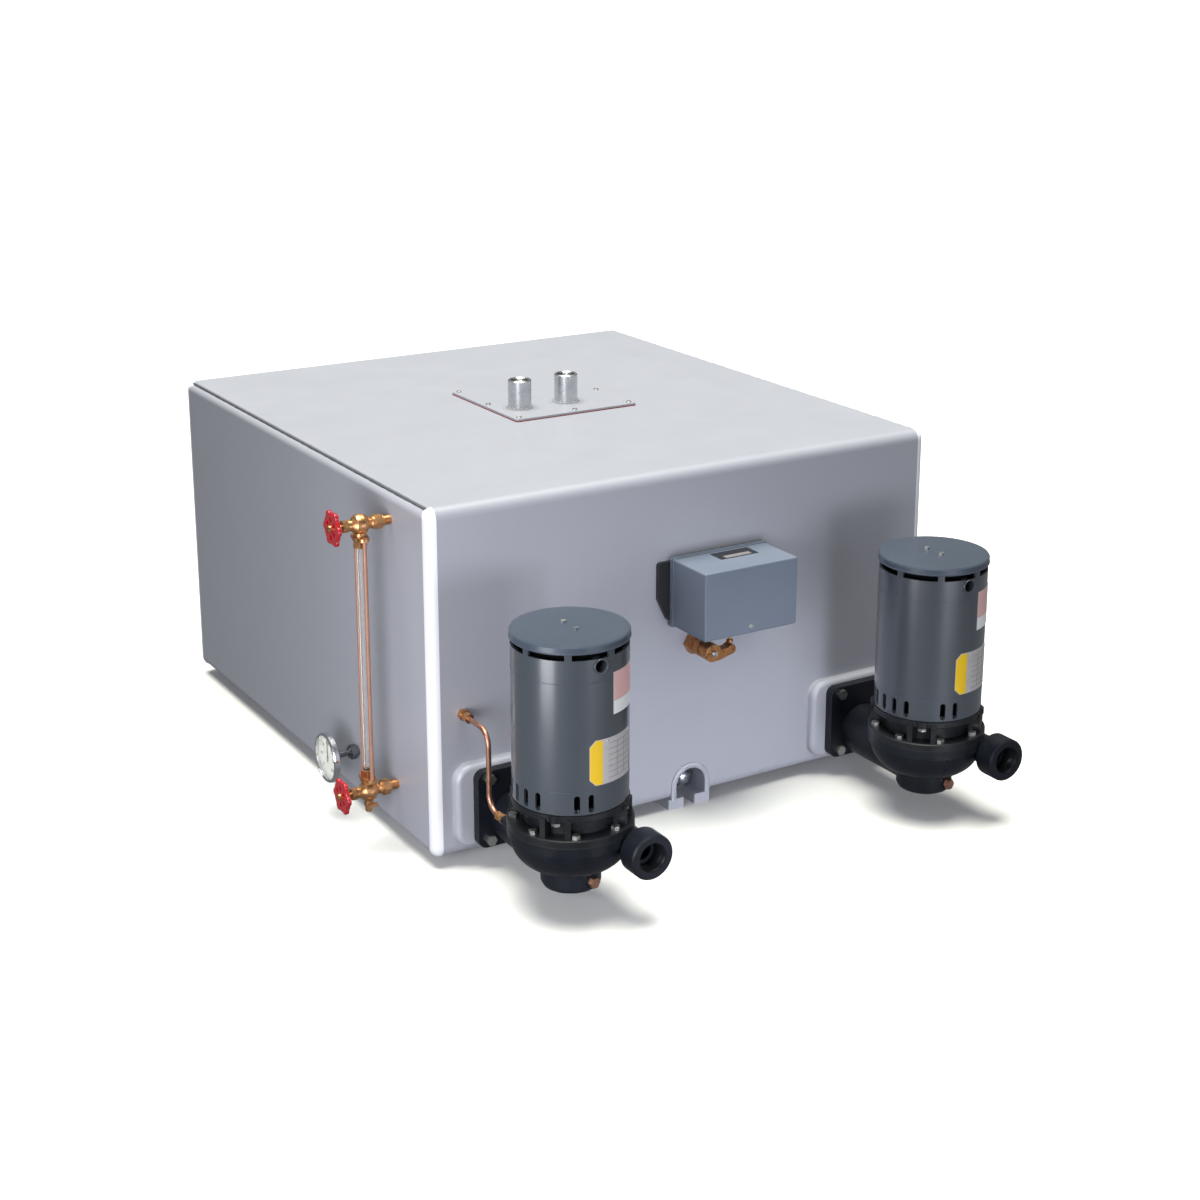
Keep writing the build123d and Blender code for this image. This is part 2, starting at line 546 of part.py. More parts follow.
# --------------------------------------------------------------------- pumps
for side, dx in pump_dx:
    axis = Axis(at(dx, -pump_out, 0), (0, 0, 1))
    tall = facing(dx, -pump_out, 0)

    # Volute casing: boss and suction passage below, flange on top, mounting
    # flange at the back, discharge nozzle at the side pointing forward.
    with BuildPart() as casing:
        with BuildSketch(tall):
            with BuildLine():
                Polyline((44, 50), (44, 27), (41, 21), (35, 18), (0, 18), (0, casing_top), (casing_flange_r, casing_top), (casing_flange_r, 100), (88.5, 98))
                Spline((88.5, 98), (85.5, 84), (77.5, 69), (64, 57.5), (44, 50))
            make_face()
        revolve(axis=axis)
        with BuildSketch(facing(dx, -16 - flange_t + 1, suction_z)):
            Circle(42)
        extrude(amount=pump_out - 16 - flange_t)
        with BuildSketch(facing(dx, -16, flange_z)):
            RectangleRounded(flange_w, flange_h, 14)
        extrude(amount=flange_t)
        with BuildSketch(facing(dx + nozzle_dx, -pump_out, nozzle_z)):
            Circle(nozzle_r)
        extrude(amount=nozzle_end - 10)
        with BuildSketch(flat(dx + nozzle_dx, -pump_out, nozzle_z)):
            with BuildLine():
                Polyline((0, -nozzle_end + 38), (nozzle_r, -nozzle_end + 40), (nozzle_hub_r - 3, -nozzle_end + 37), (nozzle_hub_r, -nozzle_end + 33),
                         (nozzle_hub_r, -nozzle_end + 2.5), (nozzle_hub_r - 2.5, -nozzle_end), (0, -nozzle_end), close=True)
            make_face()
        revolve(axis=Axis(at(dx + nozzle_dx, -pump_out, nozzle_z), (0, 1, 0)))
        # boss on the rim for the vent tube, towards the receiver
        off = -72 if side == "left" else 72
        with BuildSketch(facing(dx + off, -pump_out + 66, vent_port_z)):
            Circle(6.5)
        extrude(amount=22)
        # pad for the drain plug
        plug_dir = (math.sin(math.radians(12)), -math.cos(math.radians(12)), 0)
        with BuildSketch(Plane(origin=at(dx + 30 * plug_dir[0], -pump_out + 30 * plug_dir[1], 36), z_dir=plug_dir)):
            Circle(10)
        extrude(amount=16)
        # hollow inside: impeller chamber, eye, suction passage, discharge way
        with BuildSketch(tall):
            with BuildLine():
                Polyline((0, 74), (66, 74), (75, 80), (78, 88), (78, 104), (72, casing_top + 1), (0, casing_top + 1), close=True)
            make_face()
        revolve(axis=axis, mode=Mode.SUBTRACT)
        with BuildSketch(flat(dx, -pump_out, suction_z)):
            Circle(22)
        extrude(amount=20, mode=Mode.SUBTRACT)
        with BuildSketch(facing(dx, -10, suction_z)):
            Circle(suction_r)
        extrude(amount=pump_out - 10, mode=Mode.SUBTRACT)
        with BuildSketch(facing(dx + nozzle_dx, -pump_out, nozzle_z)):
            Circle(15)
        extrude(amount=nozzle_end, mode=Mode.SUBTRACT)
        with BuildSketch(facing(dx + nozzle_dx, -pump_out - nozzle_end + 30, nozzle_z)):
            Circle(nozzle_bore_r)
        extrude(amount=40, mode=Mode.SUBTRACT)
        with BuildSketch(Plane(origin=at(dx + 25 * plug_dir[0], -pump_out + 25 * plug_dir[1], 36), z_dir=plug_dir)):
            Circle(6.55)
        extrude(amount=30, mode=Mode.SUBTRACT)
        with BuildSketch(facing(dx + off, -pump_out + 67, vent_port_z)):
            Circle(3.05)
        extrude(amount=18, mode=Mode.SUBTRACT)
        # bolt holes: cover flange and mounting flange
        with BuildSketch(flat(dx, -pump_out, 107)):
            with PolarLocations(bolt_ring_r, 8, start_angle=-70):
                Circle(4.05)
        extrude(amount=20, mode=Mode.SUBTRACT)
        with BuildSketch(facing(dx, 0, flange_z)):
            with GridLocations(2 * flange_bolt[0], 2 * flange_bolt[1], 2, 2):
                Circle(5.05)
        extrude(amount=16 + flange_t, mode=Mode.SUBTRACT)
    save(casing.part, "pump_casing_" + side)

    # Adapter: casing cover, seal housing, eight ribs in pairs and motor ring.
    with BuildPart() as adapter:
        with BuildSketch(tall):
            with BuildLine():
                Polyline((shaft_r + 0.06, 108), (30, 108), (34, 112), (71, 112), (71, adapter_low), (casing_flange_r, adapter_low), (casing_flange_r, 124.5), (90.5, 126),
                         (48, 126), (40, 131), (36, 142), (shaft_r + 0.06, 142), close=True)
            make_face()
        revolve(axis=axis)
        with BuildSketch(tall):
            with BuildLine():
                Polyline((54, 150), (84, 150), (85, 151), (85, adapter_high), (54, adapter_high), close=True)
            make_face()
        revolve(axis=axis)
        with BuildSketch(tall):
            with BuildLine():
                Polyline((62, 125), (69, 125), (69, 151), (62, 151), close=True)
            make_face()
        revolve(axis=axis)
        with BuildSketch(flat(dx, -pump_out, 125)):
            for a in (45, 135, 225, 315):
                with PolarLocations(75, 1, start_angle=a - 12):
                    Rectangle(26, 8.4)
                with PolarLocations(75, 1, start_angle=a + 12):
                    Rectangle(26, 8.4)
        extrude(amount=30)
        with BuildSketch(flat(dx, -pump_out, 150)):
            with PolarLocations(78, 4, start_angle=45):
                Circle(11)
        extrude(amount=adapter_high - 150)
        with BuildSketch(flat(dx, -pump_out, 100)):
            with PolarLocations(bolt_ring_r, 8, start_angle=-70):
                Circle(4.05)
        extrude(amount=30, mode=Mode.SUBTRACT)
        with BuildSketch(flat(dx, -pump_out, 145)):
            with PolarLocations(78, 4, start_angle=45):
                Circle(4.05)
        extrude(amount=20, mode=Mode.SUBTRACT)
    save(adapter.part, "motor_adapter_" + side)

    # Closed impeller with six swept-back vanes.
    with BuildPart() as impeller:
        with BuildSketch(tall):
            with BuildLine():
                Polyline((shaft_r, 84), (14, 84), (14, 97), (impeller_r, 97), (impeller_r, 100), (shaft_r, 100), close=True)
            make_face()
        revolve(axis=axis)
        with BuildSketch(flat(dx, -pump_out, 79)):
            Circle(impeller_r)
            Circle(20, mode=Mode.SUBTRACT)
        extrude(amount=3)
        with BuildSketch(flat(dx, -pump_out, 81.5)):
            for k in range(6):
                a0 = math.radians(60 * k)
                a1, a2 = a0 - math.radians(24), a0 - math.radians(56)
                with BuildLine():
                    ThreePointArc((21 * math.cos(a0), 21 * math.sin(a0)), (40 * math.cos(a1), 40 * math.sin(a1)), (61.5 * math.cos(a2), 61.5 * math.sin(a2)))
                    Line((61.5 * math.cos(a2), 61.5 * math.sin(a2)), (61.5 * math.cos(a2 - 0.06), 61.5 * math.sin(a2 - 0.06)))
                    ThreePointArc((61.5 * math.cos(a2 - 0.06), 61.5 * math.sin(a2 - 0.06)), (40 * math.cos(a1 - 0.08), 40 * math.sin(a1 - 0.08)), (21 * math.cos(a0 - 0.14), 21 * math.sin(a0 - 0.14)))
                    Line((21 * math.cos(a0 - 0.14), 21 * math.sin(a0 - 0.14)), (21 * math.cos(a0), 21 * math.sin(a0)))
                make_face()
        extrude(amount=16)
    save(impeller.part, "impeller_" + side)

    with BuildPart() as shaft:
        with BuildSketch(tall):
            with BuildLine():
                Polyline((0, 80), (6, 80), (shaft_r, 82), (shaft_r, 186), (11, 187), (11, 365), (shaft_r, 366), (shaft_r, 382.5), (7, 383.5), (0, 383.5), close=True)
            make_face()
        revolve(axis=axis)
    save(shaft.part, "motor_shaft_" + side)

    # Rotor core with end rings and a small fan above it.
    with BuildPart() as rotor:
        with BuildSketch(tall):
            with BuildLine():
                Polyline((11, 215), (38, 215), (38, 225), (44, 226), (44, 314), (38, 315), (38, 325), (18, 325), (18, 336), (56, 336), (58, 338), (18, 339), (18, 349), (11, 349), close=True)
            make_face()
        revolve(axis=axis)
        with BuildSketch(flat(dx, -pump_out, 337)):
            with PolarLocations(38, 9):
                Rectangle(34, 2.4)
        extrude(amount=12)
    save(rotor.part, "motor_rotor_" + side)

    with BuildPart() as shell:
        with BuildSketch(flat(dx, -pump_out, bell_split)):
            Circle(motor_r)
            Circle(motor_r - motor_wall, mode=Mode.SUBTRACT)
        extrude(amount=crown_split - bell_split)
    save(shell.part, "motor_shell_" + side)

# Stators: laminated ring pressed in the shell, with coil heads.
with BuildPart() as stators:
    for side, dx in pump_dx:
        with BuildSketch(facing(dx, -pump_out, 0)):
            with BuildLine():
                Polyline((44.6, 226), (50, 226), (50, 210), (56, 206), (68, 206), (74, 210), (74, 226), (motor_r - motor_wall, 226), (motor_r - motor_wall, 314),
                         (74, 314), (74, 326), (70, 330), (54, 330), (50, 326), (50, 314), (44.6, 314), close=True)
            make_face()
        revolve(axis=Axis(at(dx, -pump_out, 0), (0, 0, 1)))
save(stators.part, "motor_stators")

# Lower end bells: cup with bearing housing, four bolt bosses and cooling
# slots, grouped on the front left and opposite it.
slot_turns = (-108, -93, -78, -63, -24, -10, 72, 87, 102, 117, 156, 170)
with BuildPart() as bells:
    for side, dx in pump_dx:
        with BuildSketch(facing(dx, -pump_out, 0)):
            with BuildLine():
                Polyline((shaft_r + 0.8, adapter_high), (82.5, adapter_high), (motor_r, 161.5), (motor_r, bell_split), (motor_r - motor_wall, bell_split),
                         (motor_r - motor_wall, 166), (30, 166), (27, 168), (27, 185), (20, 185), (20, 172), (shaft_r + 0.8, 172), close=True)
            make_face()
        revolve(axis=Axis(at(dx, -pump_out, 0), (0, 0, 1)))
        with BuildSketch(flat(dx, -pump_out, 165)):
            with PolarLocations(74, 4, start_angle=45):
                Circle(9)
        extrude(amount=20)
    for side, dx in pump_dx:
        with BuildSketch(flat(dx, -pump_out, 155)):
            with PolarLocations(78, 4, start_angle=45):
                Circle(4.05)
        extrude(amount=25, mode=Mode.SUBTRACT)
        for turn in slot_turns:
            a = math.radians(-90 + turn)
            d = (math.cos(a), math.sin(a), 0)
            with BuildSketch(Plane(origin=at(dx + 76 * d[0], -pump_out + 76 * d[1], 177), x_dir=(0, 0, 1), z_dir=d)):
                SlotOverall(27, 8.5)
            extrude(amount=12, mode=Mode.SUBTRACT)
save(bells.part, "lower_end_bells")

# Upper end bells: crown wall with notches under the cap, spider, bearing hub
# and a tapped conduit entry at the front.
with BuildPart() as crowns:
    for side, dx in pump_dx:
        with BuildSketch(facing(dx, -pump_out, 0)):
            with BuildLine():
                Polyline((motor_r, crown_split), (motor_r, motor_top), (motor_r - motor_wall, motor_top), (motor_r - motor_wall, 366), (27, 366), (27, motor_top), (0, motor_top), (0, 384.2),
                         (20, 384.2), (20, 360), (motor_r - motor_wall, 360), (motor_r - motor_wall, crown_split), close=True)
            make_face()
        revolve(axis=Axis(at(dx, -pump_out, 0), (0, 0, 1)))
        with BuildSketch(facing(dx, -pump_out - 70, 378)):
            Circle(11)
        extrude(amount=15.2)
    for side, dx in pump_dx:
        with BuildSketch(facing(dx, -pump_out - 60, 378)):
            Circle(8.9)
        extrude(amount=30, mode=Mode.SUBTRACT)
        with BuildSketch(flat(dx, -pump_out, motor_top - 12)):
            with Locations((0, 17), (0, -17)):
                Circle(2.55)
        extrude(amount=20, mode=Mode.SUBTRACT)
        with BuildSketch(flat(dx, -pump_out, motor_top - 9)):
            for k in range(8):
                turn = math.radians(-90 - 54.5 + 45 * k)
                half = math.radians(19)
                with BuildLine():
                    Polyline(
                        (72 * math.cos(turn - half), 72 * math.sin(turn - half)), (100 * math.cos(turn - half), 100 * math.sin(turn - half)),
                        (100 * math.cos(turn + half), 100 * math.sin(turn + half)), (72 * math.cos(turn + half), 72 * math.sin(turn + half)), close=True)
                make_face()
        extrude(amount=12, mode=Mode.SUBTRACT)
save(crowns.part, "upper_end_bells")

with BuildPart() as caps:
    for side, dx in pump_dx:
        with BuildSketch(facing(dx, -pump_out, 0)):
            with BuildLine():
                Polyline((0, motor_top), (85.5, motor_top), (85.5, cap_top - 3.5), (84, cap_top - 1.4), (78, cap_top - 0.5), (40, cap_top), (0, cap_top), close=True)
            make_face()
        revolve(axis=Axis(at(dx, -pump_out, 0), (0, 0, 1)))
    for side, dx in pump_dx:
        with BuildSketch(flat(dx, -pump_out, motor_top - 2)):
            with Locations((0, 17), (0, -17)):
                Circle(2.55)
        extrude(amount=20, mode=Mode.SUBTRACT)
save(caps.part, "drip_caps")

with BuildPart() as cap_screws:
    for side, dx in pump_dx:
        with BuildSketch(flat(dx, -pump_out, motor_top - 11)):
            with Locations((0, 17), (0, -17)):
                Circle(2.5)
        extrude(amount=cap_top - motor_top + 11.2)
        with BuildSketch(flat(dx, -pump_out, cap_top)):
            with Locations((0, 17), (0, -17)):
                RegularPolygon(4.4, 6)
        extrude(amount=2.8)
save(cap_screws.part, "cap_screws")

with BuildPart() as bearings:
    for side, dx in pump_dx:
        for z in (172, 372):
            with BuildSketch(flat(dx, -pump_out, z)):
                Circle(19.98)
                Circle(shaft_r + 0.05, mode=Mode.SUBTRACT)
            extrude(amount=12)
save(bearings.part, "motor_bearings")

with BuildPart() as gaskets:
    for side, dx in pump_dx:
        with BuildSketch(facing(dx, -pad_t, flange_z)):
            RectangleRounded(flange_w, flange_h, 14)
            with GridLocations(2 * flange_bolt[0], 2 * flange_bolt[1], 2, 2):
                Circle(5.05, mode=Mode.SUBTRACT)
            with Locations((0, suction_z - flange_z)):
                Circle(suction_r, mode=Mode.SUBTRACT)
        extrude(amount=1)
        with BuildSketch(flat(dx, -pump_out, casing_top)):
            Circle(casing_flange_r)
            Circle(73, mode=Mode.SUBTRACT)
            with PolarLocations(bolt_ring_r, 8, start_angle=-70):
                Circle(4.05, mode=Mode.SUBTRACT)
        extrude(amount=1)
save(gaskets.part, "pump_gaskets")

# Hexagon-head bolts: eight round each casing, four under each motor, four
# through each mounting flange.
with BuildPart() as bolts:
    for side, dx in pump_dx:
        with BuildSketch(flat(dx, -pump_out, 107.5)):
            with PolarLocations(bolt_ring_r, 8, start_angle=-70):
                Circle(4)
        extrude(amount=19)
        with BuildSketch(flat(dx, -pump_out, 126)):
            with PolarLocations(bolt_ring_r, 8, start_angle=-70):
                RegularPolygon(6.6, 6)
        extrude(amount=5.6)
        with BuildSketch(flat(dx, -pump_out, 149.5)):
            with PolarLocations(78, 4, start_angle=45):
                Circle(4)
        extrude(amount=28)
        with BuildSketch(flat(dx, -pump_out, 143.5)):
            with PolarLocations(78, 4, start_angle=45):
                RegularPolygon(7.2, 6)
        extrude(amount=6.5)
        with BuildSketch(facing(dx, -4, flange_z)):
            with GridLocations(2 * flange_bolt[0], 2 * flange_bolt[1], 2, 2):
                Circle(5)
        extrude(amount=28)
        with BuildSketch(facing(dx, -16 - flange_t, flange_z)):
            with GridLocations(2 * flange_bolt[0], 2 * flange_bolt[1], 2, 2):
                RegularPolygon(8.6, 6)
        extrude(amount=6.4)
save(bolts.part, "pump_bolts")

# ------------------------------------------------------ vent tubes, fittings
with BuildPart() as tubes:
    for side, dx, off in (("left", sides["left"], -72), ("right", sides["right"], 72)):
        x = dx + off
        with BuildLine() as path:
            FilletPolyline(at(x, -13, vent_z), at(x, -82, vent_z), at(x, -82, vent_port_z), at(x, -pump_out + 76, vent_port_z), radius=24)
        with BuildSketch(Plane(origin=at(x, -13, vent_z), x_dir=(1, 0, 0), z_dir=(0, -1, 0))):
            Circle(3.9)
            Circle(2.9, mode=Mode.SUBTRACT)
        sweep(path=path.wires()[0])
save(tubes.part, "vent_tubes")

with BuildPart() as fittings:
    for side, dx, off in (("left", sides["left"], -72), ("right", sides["right"], 72)):
        x = dx + off
        # connector at the receiver
        with BuildSketch(facing(x, 8, vent_z)):
            Circle(5)
        extrude(amount=8.5)
        with BuildSketch(facing(x, 0, vent_z)):
            RegularPolygon(8.6, 6)
        extrude(amount=9)
        with BuildSketch(facing(x, -9, vent_z)):
            Circle(6.4)
            Circle(3.92, mode=Mode.SUBTRACT)
        extrude(amount=5)
        with BuildSketch(facing(x, -14, vent_z)):
            RegularPolygon(7.8, 6, rotation=20)
            Circle(3.92, mode=Mode.SUBTRACT)
        extrude(amount=10)
        # connector at the casing boss
        with BuildSketch(facing(x, -pump_out + 66.5, vent_port_z)):
            Circle(3)
        extrude(amount=16.5)
        with BuildSketch(facing(x, -pump_out + 73, vent_port_z)):
            RegularPolygon(7.4, 6)
        extrude(amount=7)
        with BuildSketch(facing(x, -pump_out + 84, vent_port_z)):
            RegularPolygon(7.0, 6, rotation=20)
            Circle(3.92, mode=Mode.SUBTRACT)
        extrude(amount=11.5)
save(fittings.part, "vent_fittings")

with BuildPart() as plugs:
    for side, dx in pump_dx:
        for r0, r1, kind in ((36, 46.2, "round"), (46, 53.5, "square")):
            with BuildSketch(Plane(origin=at(dx + r0 * plug_dir[0], -pump_out + r0 * plug_dir[1], 36), z_dir=plug_dir)):
                if kind == "round":
                    Circle(6.5)
                else:
                    RegularPolygon(8.6, 6)
            extrude(amount=r1 - r0)
save(plugs.part, "casing_plugs")

# ----------------------------------------------------------- rating plates
# Thin plates bent to the motor's curve: a lower one and a smaller upper one.
with BuildPart() as plates:
    for side, dx in pump_dx:
        for a0, a1, z0, z1 in ((-12, 44, 203, 270), (15, 52, 302, 364)):
            with BuildSketch(flat(dx, -pump_out, z0)):
                with BuildLine():
                    pts = []
                    for r, n in ((motor_r + 0.05, 0), (motor_r + 0.65, 1)):
                        ang = [math.radians(-90 + v) for v in (a0, (a0 + a1) / 2, a1)]
                        pts.append([(r * math.cos(t), r * math.sin(t)) for t in ang])
                    ThreePointArc(*pts[0])
                    ThreePointArc(*pts[1])
                    Line(pts[0][0], pts[1][0])
                    Line(pts[0][2], pts[1][2])
                make_face()
            extrude(amount=z1 - z0)
        # the lower plate's two corners nearest the middle are cut off
        turn = math.radians(-90 - 12)
        out, along = (math.cos(turn), math.sin(turn), 0), (-math.sin(turn), math.cos(turn), 0)
        for z, up in ((203, 1), (270, -1)):
            with BuildSketch(Plane(origin=at(dx + 80 * out[0], -pump_out + 80 * out[1], z), x_dir=along, z_dir=out)):
                with BuildLine():
                    Polyline((-2, -2 * up), (9, -2 * up), (9, 0), (0, 9 * up), (-2, 9 * up), close=True)
                make_face()
            extrude(amount=8, mode=Mode.SUBTRACT)
save(plates.part, "motor_plates")
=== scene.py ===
import bpy
import bmesh
import math
from mathutils import Matrix, Vector


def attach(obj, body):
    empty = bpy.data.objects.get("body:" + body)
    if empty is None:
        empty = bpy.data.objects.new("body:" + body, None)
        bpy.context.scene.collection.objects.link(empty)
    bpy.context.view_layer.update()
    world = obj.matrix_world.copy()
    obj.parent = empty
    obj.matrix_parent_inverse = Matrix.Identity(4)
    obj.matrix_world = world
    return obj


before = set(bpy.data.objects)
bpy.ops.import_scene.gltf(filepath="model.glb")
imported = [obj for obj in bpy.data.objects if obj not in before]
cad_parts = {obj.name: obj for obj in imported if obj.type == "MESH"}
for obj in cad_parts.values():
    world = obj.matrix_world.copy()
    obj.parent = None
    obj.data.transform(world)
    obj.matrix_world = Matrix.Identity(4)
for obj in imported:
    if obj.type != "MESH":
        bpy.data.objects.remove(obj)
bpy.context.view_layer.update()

# the receiver's lower front edge, middle, as in the CAD frame, in millimetres
OX, OY, OZ = 50.0, -332.0, 17.0
PUMPS = (("left", -335.0), ("right", 320.0))
OUT = 193.0


def T(x, y, z):
    return Vector(((OX + x) / 1000, (OY + y) / 1000, (OZ + z) / 1000))


# ------------------------------------------------------------------ materials
class Mat:
    """A small builder for procedural materials."""

    def __init__(self, name):
        self.m = bpy.data.materials.new(name)
        self.m.use_nodes = True
        self.nt = self.m.node_tree
        self.nt.nodes.clear()
        self.out = self.add("ShaderNodeOutputMaterial")
        self.bsdf = self.add("ShaderNodeBsdfPrincipled")
        self.link(self.bsdf, "BSDF", self.out, "Surface")
        self.coord = self.add("ShaderNodeTexCoord")

    def add(self, kind, **kw):
        n = self.nt.nodes.new(kind)
        for k, v in kw.items():
            setattr(n, k, v)
        return n

    def link(self, a, ao, b, bi):
        self.nt.links.new(a.outputs[ao], b.inputs[bi])

    def set(self, **kw):
        names = {"rough": "Roughness", "metal": "Metallic", "coat": "Coat Weight", "coat_rough": "Coat Roughness", "spec": "Specular IOR Level",
                 "trans": "Transmission Weight", "ior": "IOR", "alpha": "Alpha", "aniso": "Anisotropic"}
        for k, v in kw.items():
            self.bsdf.inputs[names[k]].default_value = v
        return self

    def noise(self, scale, detail=3.0, rough=0.55, stretch=(1, 1, 1), offset=(0, 0, 0)):
        mp = self.add("ShaderNodeMapping")
        mp.inputs["Scale"].default_value = stretch
        mp.inputs["Location"].default_value = offset
        self.link(self.coord, "Object", mp, "Vector")
        n = self.add("ShaderNodeTexNoise")
        n.inputs["Scale"].default_value = scale
        n.inputs["Detail"].default_value = detail
        n.inputs["Roughness"].default_value = rough
        self.link(mp, "Vector", n, "Vector")
        return n

    def ramp(self, src, out, stops):
        r = self.add("ShaderNodeValToRGB")
        e = r.color_ramp.elements
        while len(e) > 1:
            e.remove(e[-1])
        e[0].position, e[0].color = stops[0][0], (*stops[0][1], 1)
        for p, c in stops[1:]:
            k = e.new(p)
            k.color = (*c, 1)
        self.link(src, out, r, "Fac")
        return r

    def remap(self, src, out, a, b, lo=0.3, hi=0.7):
        r = self.add("ShaderNodeMapRange")
        r.inputs["From Min"].default_value = lo
        r.inputs["From Max"].default_value = hi
        r.inputs["To Min"].default_value = a
        r.inputs["To Max"].default_value = b
        self.link(src, out, r, "Value")
        return r

    def bump(self, *layers):
        """layers of (node, output, strength, distance), the last on top."""
        prev = None
        for n, o, s, d in layers:
            b = self.add("ShaderNodeBump")
            b.inputs["Strength"].default_value = s
            b.inputs["Distance"].default_value = d
            self.link(n, o, b, "Height")
            if prev:
                self.link(prev, "Normal", b, "Normal")
            prev = b
        self.link(prev, "Normal", self.bsdf, "Normal")

    def mix(self, fac, fo, a, ao, b, bo, blend="MIX"):
        x = self.add("ShaderNodeMix", data_type="RGBA", blend_type=blend)
        if fac is None:
            x.inputs[0].default_value = fo
        else:
            self.link(fac, fo, x, 0)
        for sock, v, o in ((6, a, ao), (7, b, bo)):
            if isinstance(v, tuple):
                x.inputs[sock].default_value = (*v, 1)
            else:
                self.nt.links.new(v.outputs[o], x.inputs[sock])
        return x


def shade(c, k):
    return tuple(max(0.0, min(1.0, v * k)) for v in c)


def enamel(name, colour, rough=0.4, vary=0.06, blotch=2.2, orange=0.00006, metal=0.0, coat=0.0, dust=0.0, spec=0.5, uneven=1.0):
    """Sprayed paint: slow colour drift, fine orange-peel and uneven gloss."""
    m = Mat(name)
    slow = m.noise(blotch, 4, 0.6)
    fine = m.noise(420, 2, 0.5)
    peel = m.noise(95, 3, 0.55, offset=(3, 1, 7))
    base = m.ramp(slow, "Fac", ((0.3, shade(colour, 1 - vary)), (0.5, colour), (0.72, shade(colour, 1 + vary))))
    speck = m.noise(900, 1, 0.5, offset=(9, 4, 2))
    tone = m.remap(speck, "Fac", 0.0, 0.10, 0.45, 0.75)
    x = m.mix(tone, "Result", base, "Color", shade(colour, 1.25), None)
    m.link(x, 2, m.bsdf, "Base Color")
    rr = m.remap(m.noise(14, 4, 0.6, offset=(5, 5, 5)), "Fac", max(0.05, rough - 0.07 * uneven), min(1, rough + 0.08 * uneven))
    m.link(rr, "Result", m.bsdf, "Roughness")
    m.set(metal=metal, coat=coat, spec=spec)
    if coat:
        m.set(coat_rough=0.2)
    m.bump((peel, "Fac", 0.35, orange * 4), (fine, "Fac", 0.25, orange))
    return m


def cast(name, colour, rough=0.42, depth=0.0006, spec=0.5, coat=0.0):
    """Painted sand casting: lumpy skin under a thin coat."""
    m = Mat(name)
    lump = m.noise(70, 4, 0.6)
    grain = m.noise(380, 3, 0.6, offset=(2, 8, 1))
    slow = m.noise(9, 4, 0.6, offset=(7, 3, 3))
    base = m.ramp(slow, "Fac", ((0.3, shade(colour, 0.72)), (0.55, colour), (0.78, shade(colour, 1.5))))
    dustm = m.remap(grain, "Fac", 0.0, 0.22, 0.55, 0.8)
    x = m.mix(dustm, "Result", base, "Color", shade(colour, 2.6), None)
    m.link(x, 2, m.bsdf, "Base Color")
    rr = m.remap(m.noise(30, 3, 0.6, offset=(1, 6, 2)), "Fac", rough - 0.1, rough + 0.14)
    m.link(rr, "Result", m.bsdf, "Roughness")
    m.set(spec=spec, coat=coat)
    if coat:
        m.set(coat_rough=0.2)
    m.bump((lump, "Fac", 0.5, depth), (grain, "Fac", 0.5, depth * 0.22))
    return m


def metal(name, colour, rough=0.28, vary=0.12, stretch=(1, 1, 1), tarnish=None, scratch=0.00003, spots=0.0):
    """Bare metal with machining lines, patina and uneven polish."""
    m = Mat(name)
    slow = m.noise(38, 4, 0.6)
    line = m.noise(800, 2, 0.5, stretch=stretch)
    base = m.ramp(slow, "Fac", ((0.3, shade(colour, 1 - vary)), (0.55, colour), (0.8, shade(colour, 1 + vary * 0.7))))
    src, so = base, "Color"
    if tarnish:
        k = m.remap(m.noise(85, 5, 0.65, offset=(4, 2, 9)), "Fac", 0.0, 0.75, 0.5, 0.72)
        x = m.mix(k, "Result", base, "Color", tarnish, None)
        src, so = x, 2
    m.link(src, so, m.bsdf, "Base Color")
    rr = m.remap(m.noise(120, 4, 0.6, offset=(6, 1, 1)), "Fac", max(0.06, rough - 0.1), rough + 0.14)
    m.link(rr, "Result", m.bsdf, "Roughness")
    m.set(metal=1.0)
    m.bump((line, "Fac", 0.5, scratch))
    return m


def two_tone(m, axis, edge, other, rough=None):
    """Another colour beyond a plane across the piece, edge in metres of the shared frame."""
    sep = m.add("ShaderNodeSeparateXYZ")
    m.link(m.coord, "Object", sep, "Vector")
    side = m.add("ShaderNodeMath", operation="GREATER_THAN")
    m.link(sep, axis, side, 0)
    side.inputs[1].default_value = edge
    src = m.bsdf.inputs["Base Color"].links[0].from_socket
    x = m.add("ShaderNodeMix", data_type="RGBA")
    m.link(side, 0, x, 0)
    m.nt.links.new(src, x.inputs[6])
    x.inputs[7].default_value = (*other, 1)
    m.link(x, 2, m.bsdf, "Base Color")
    return m


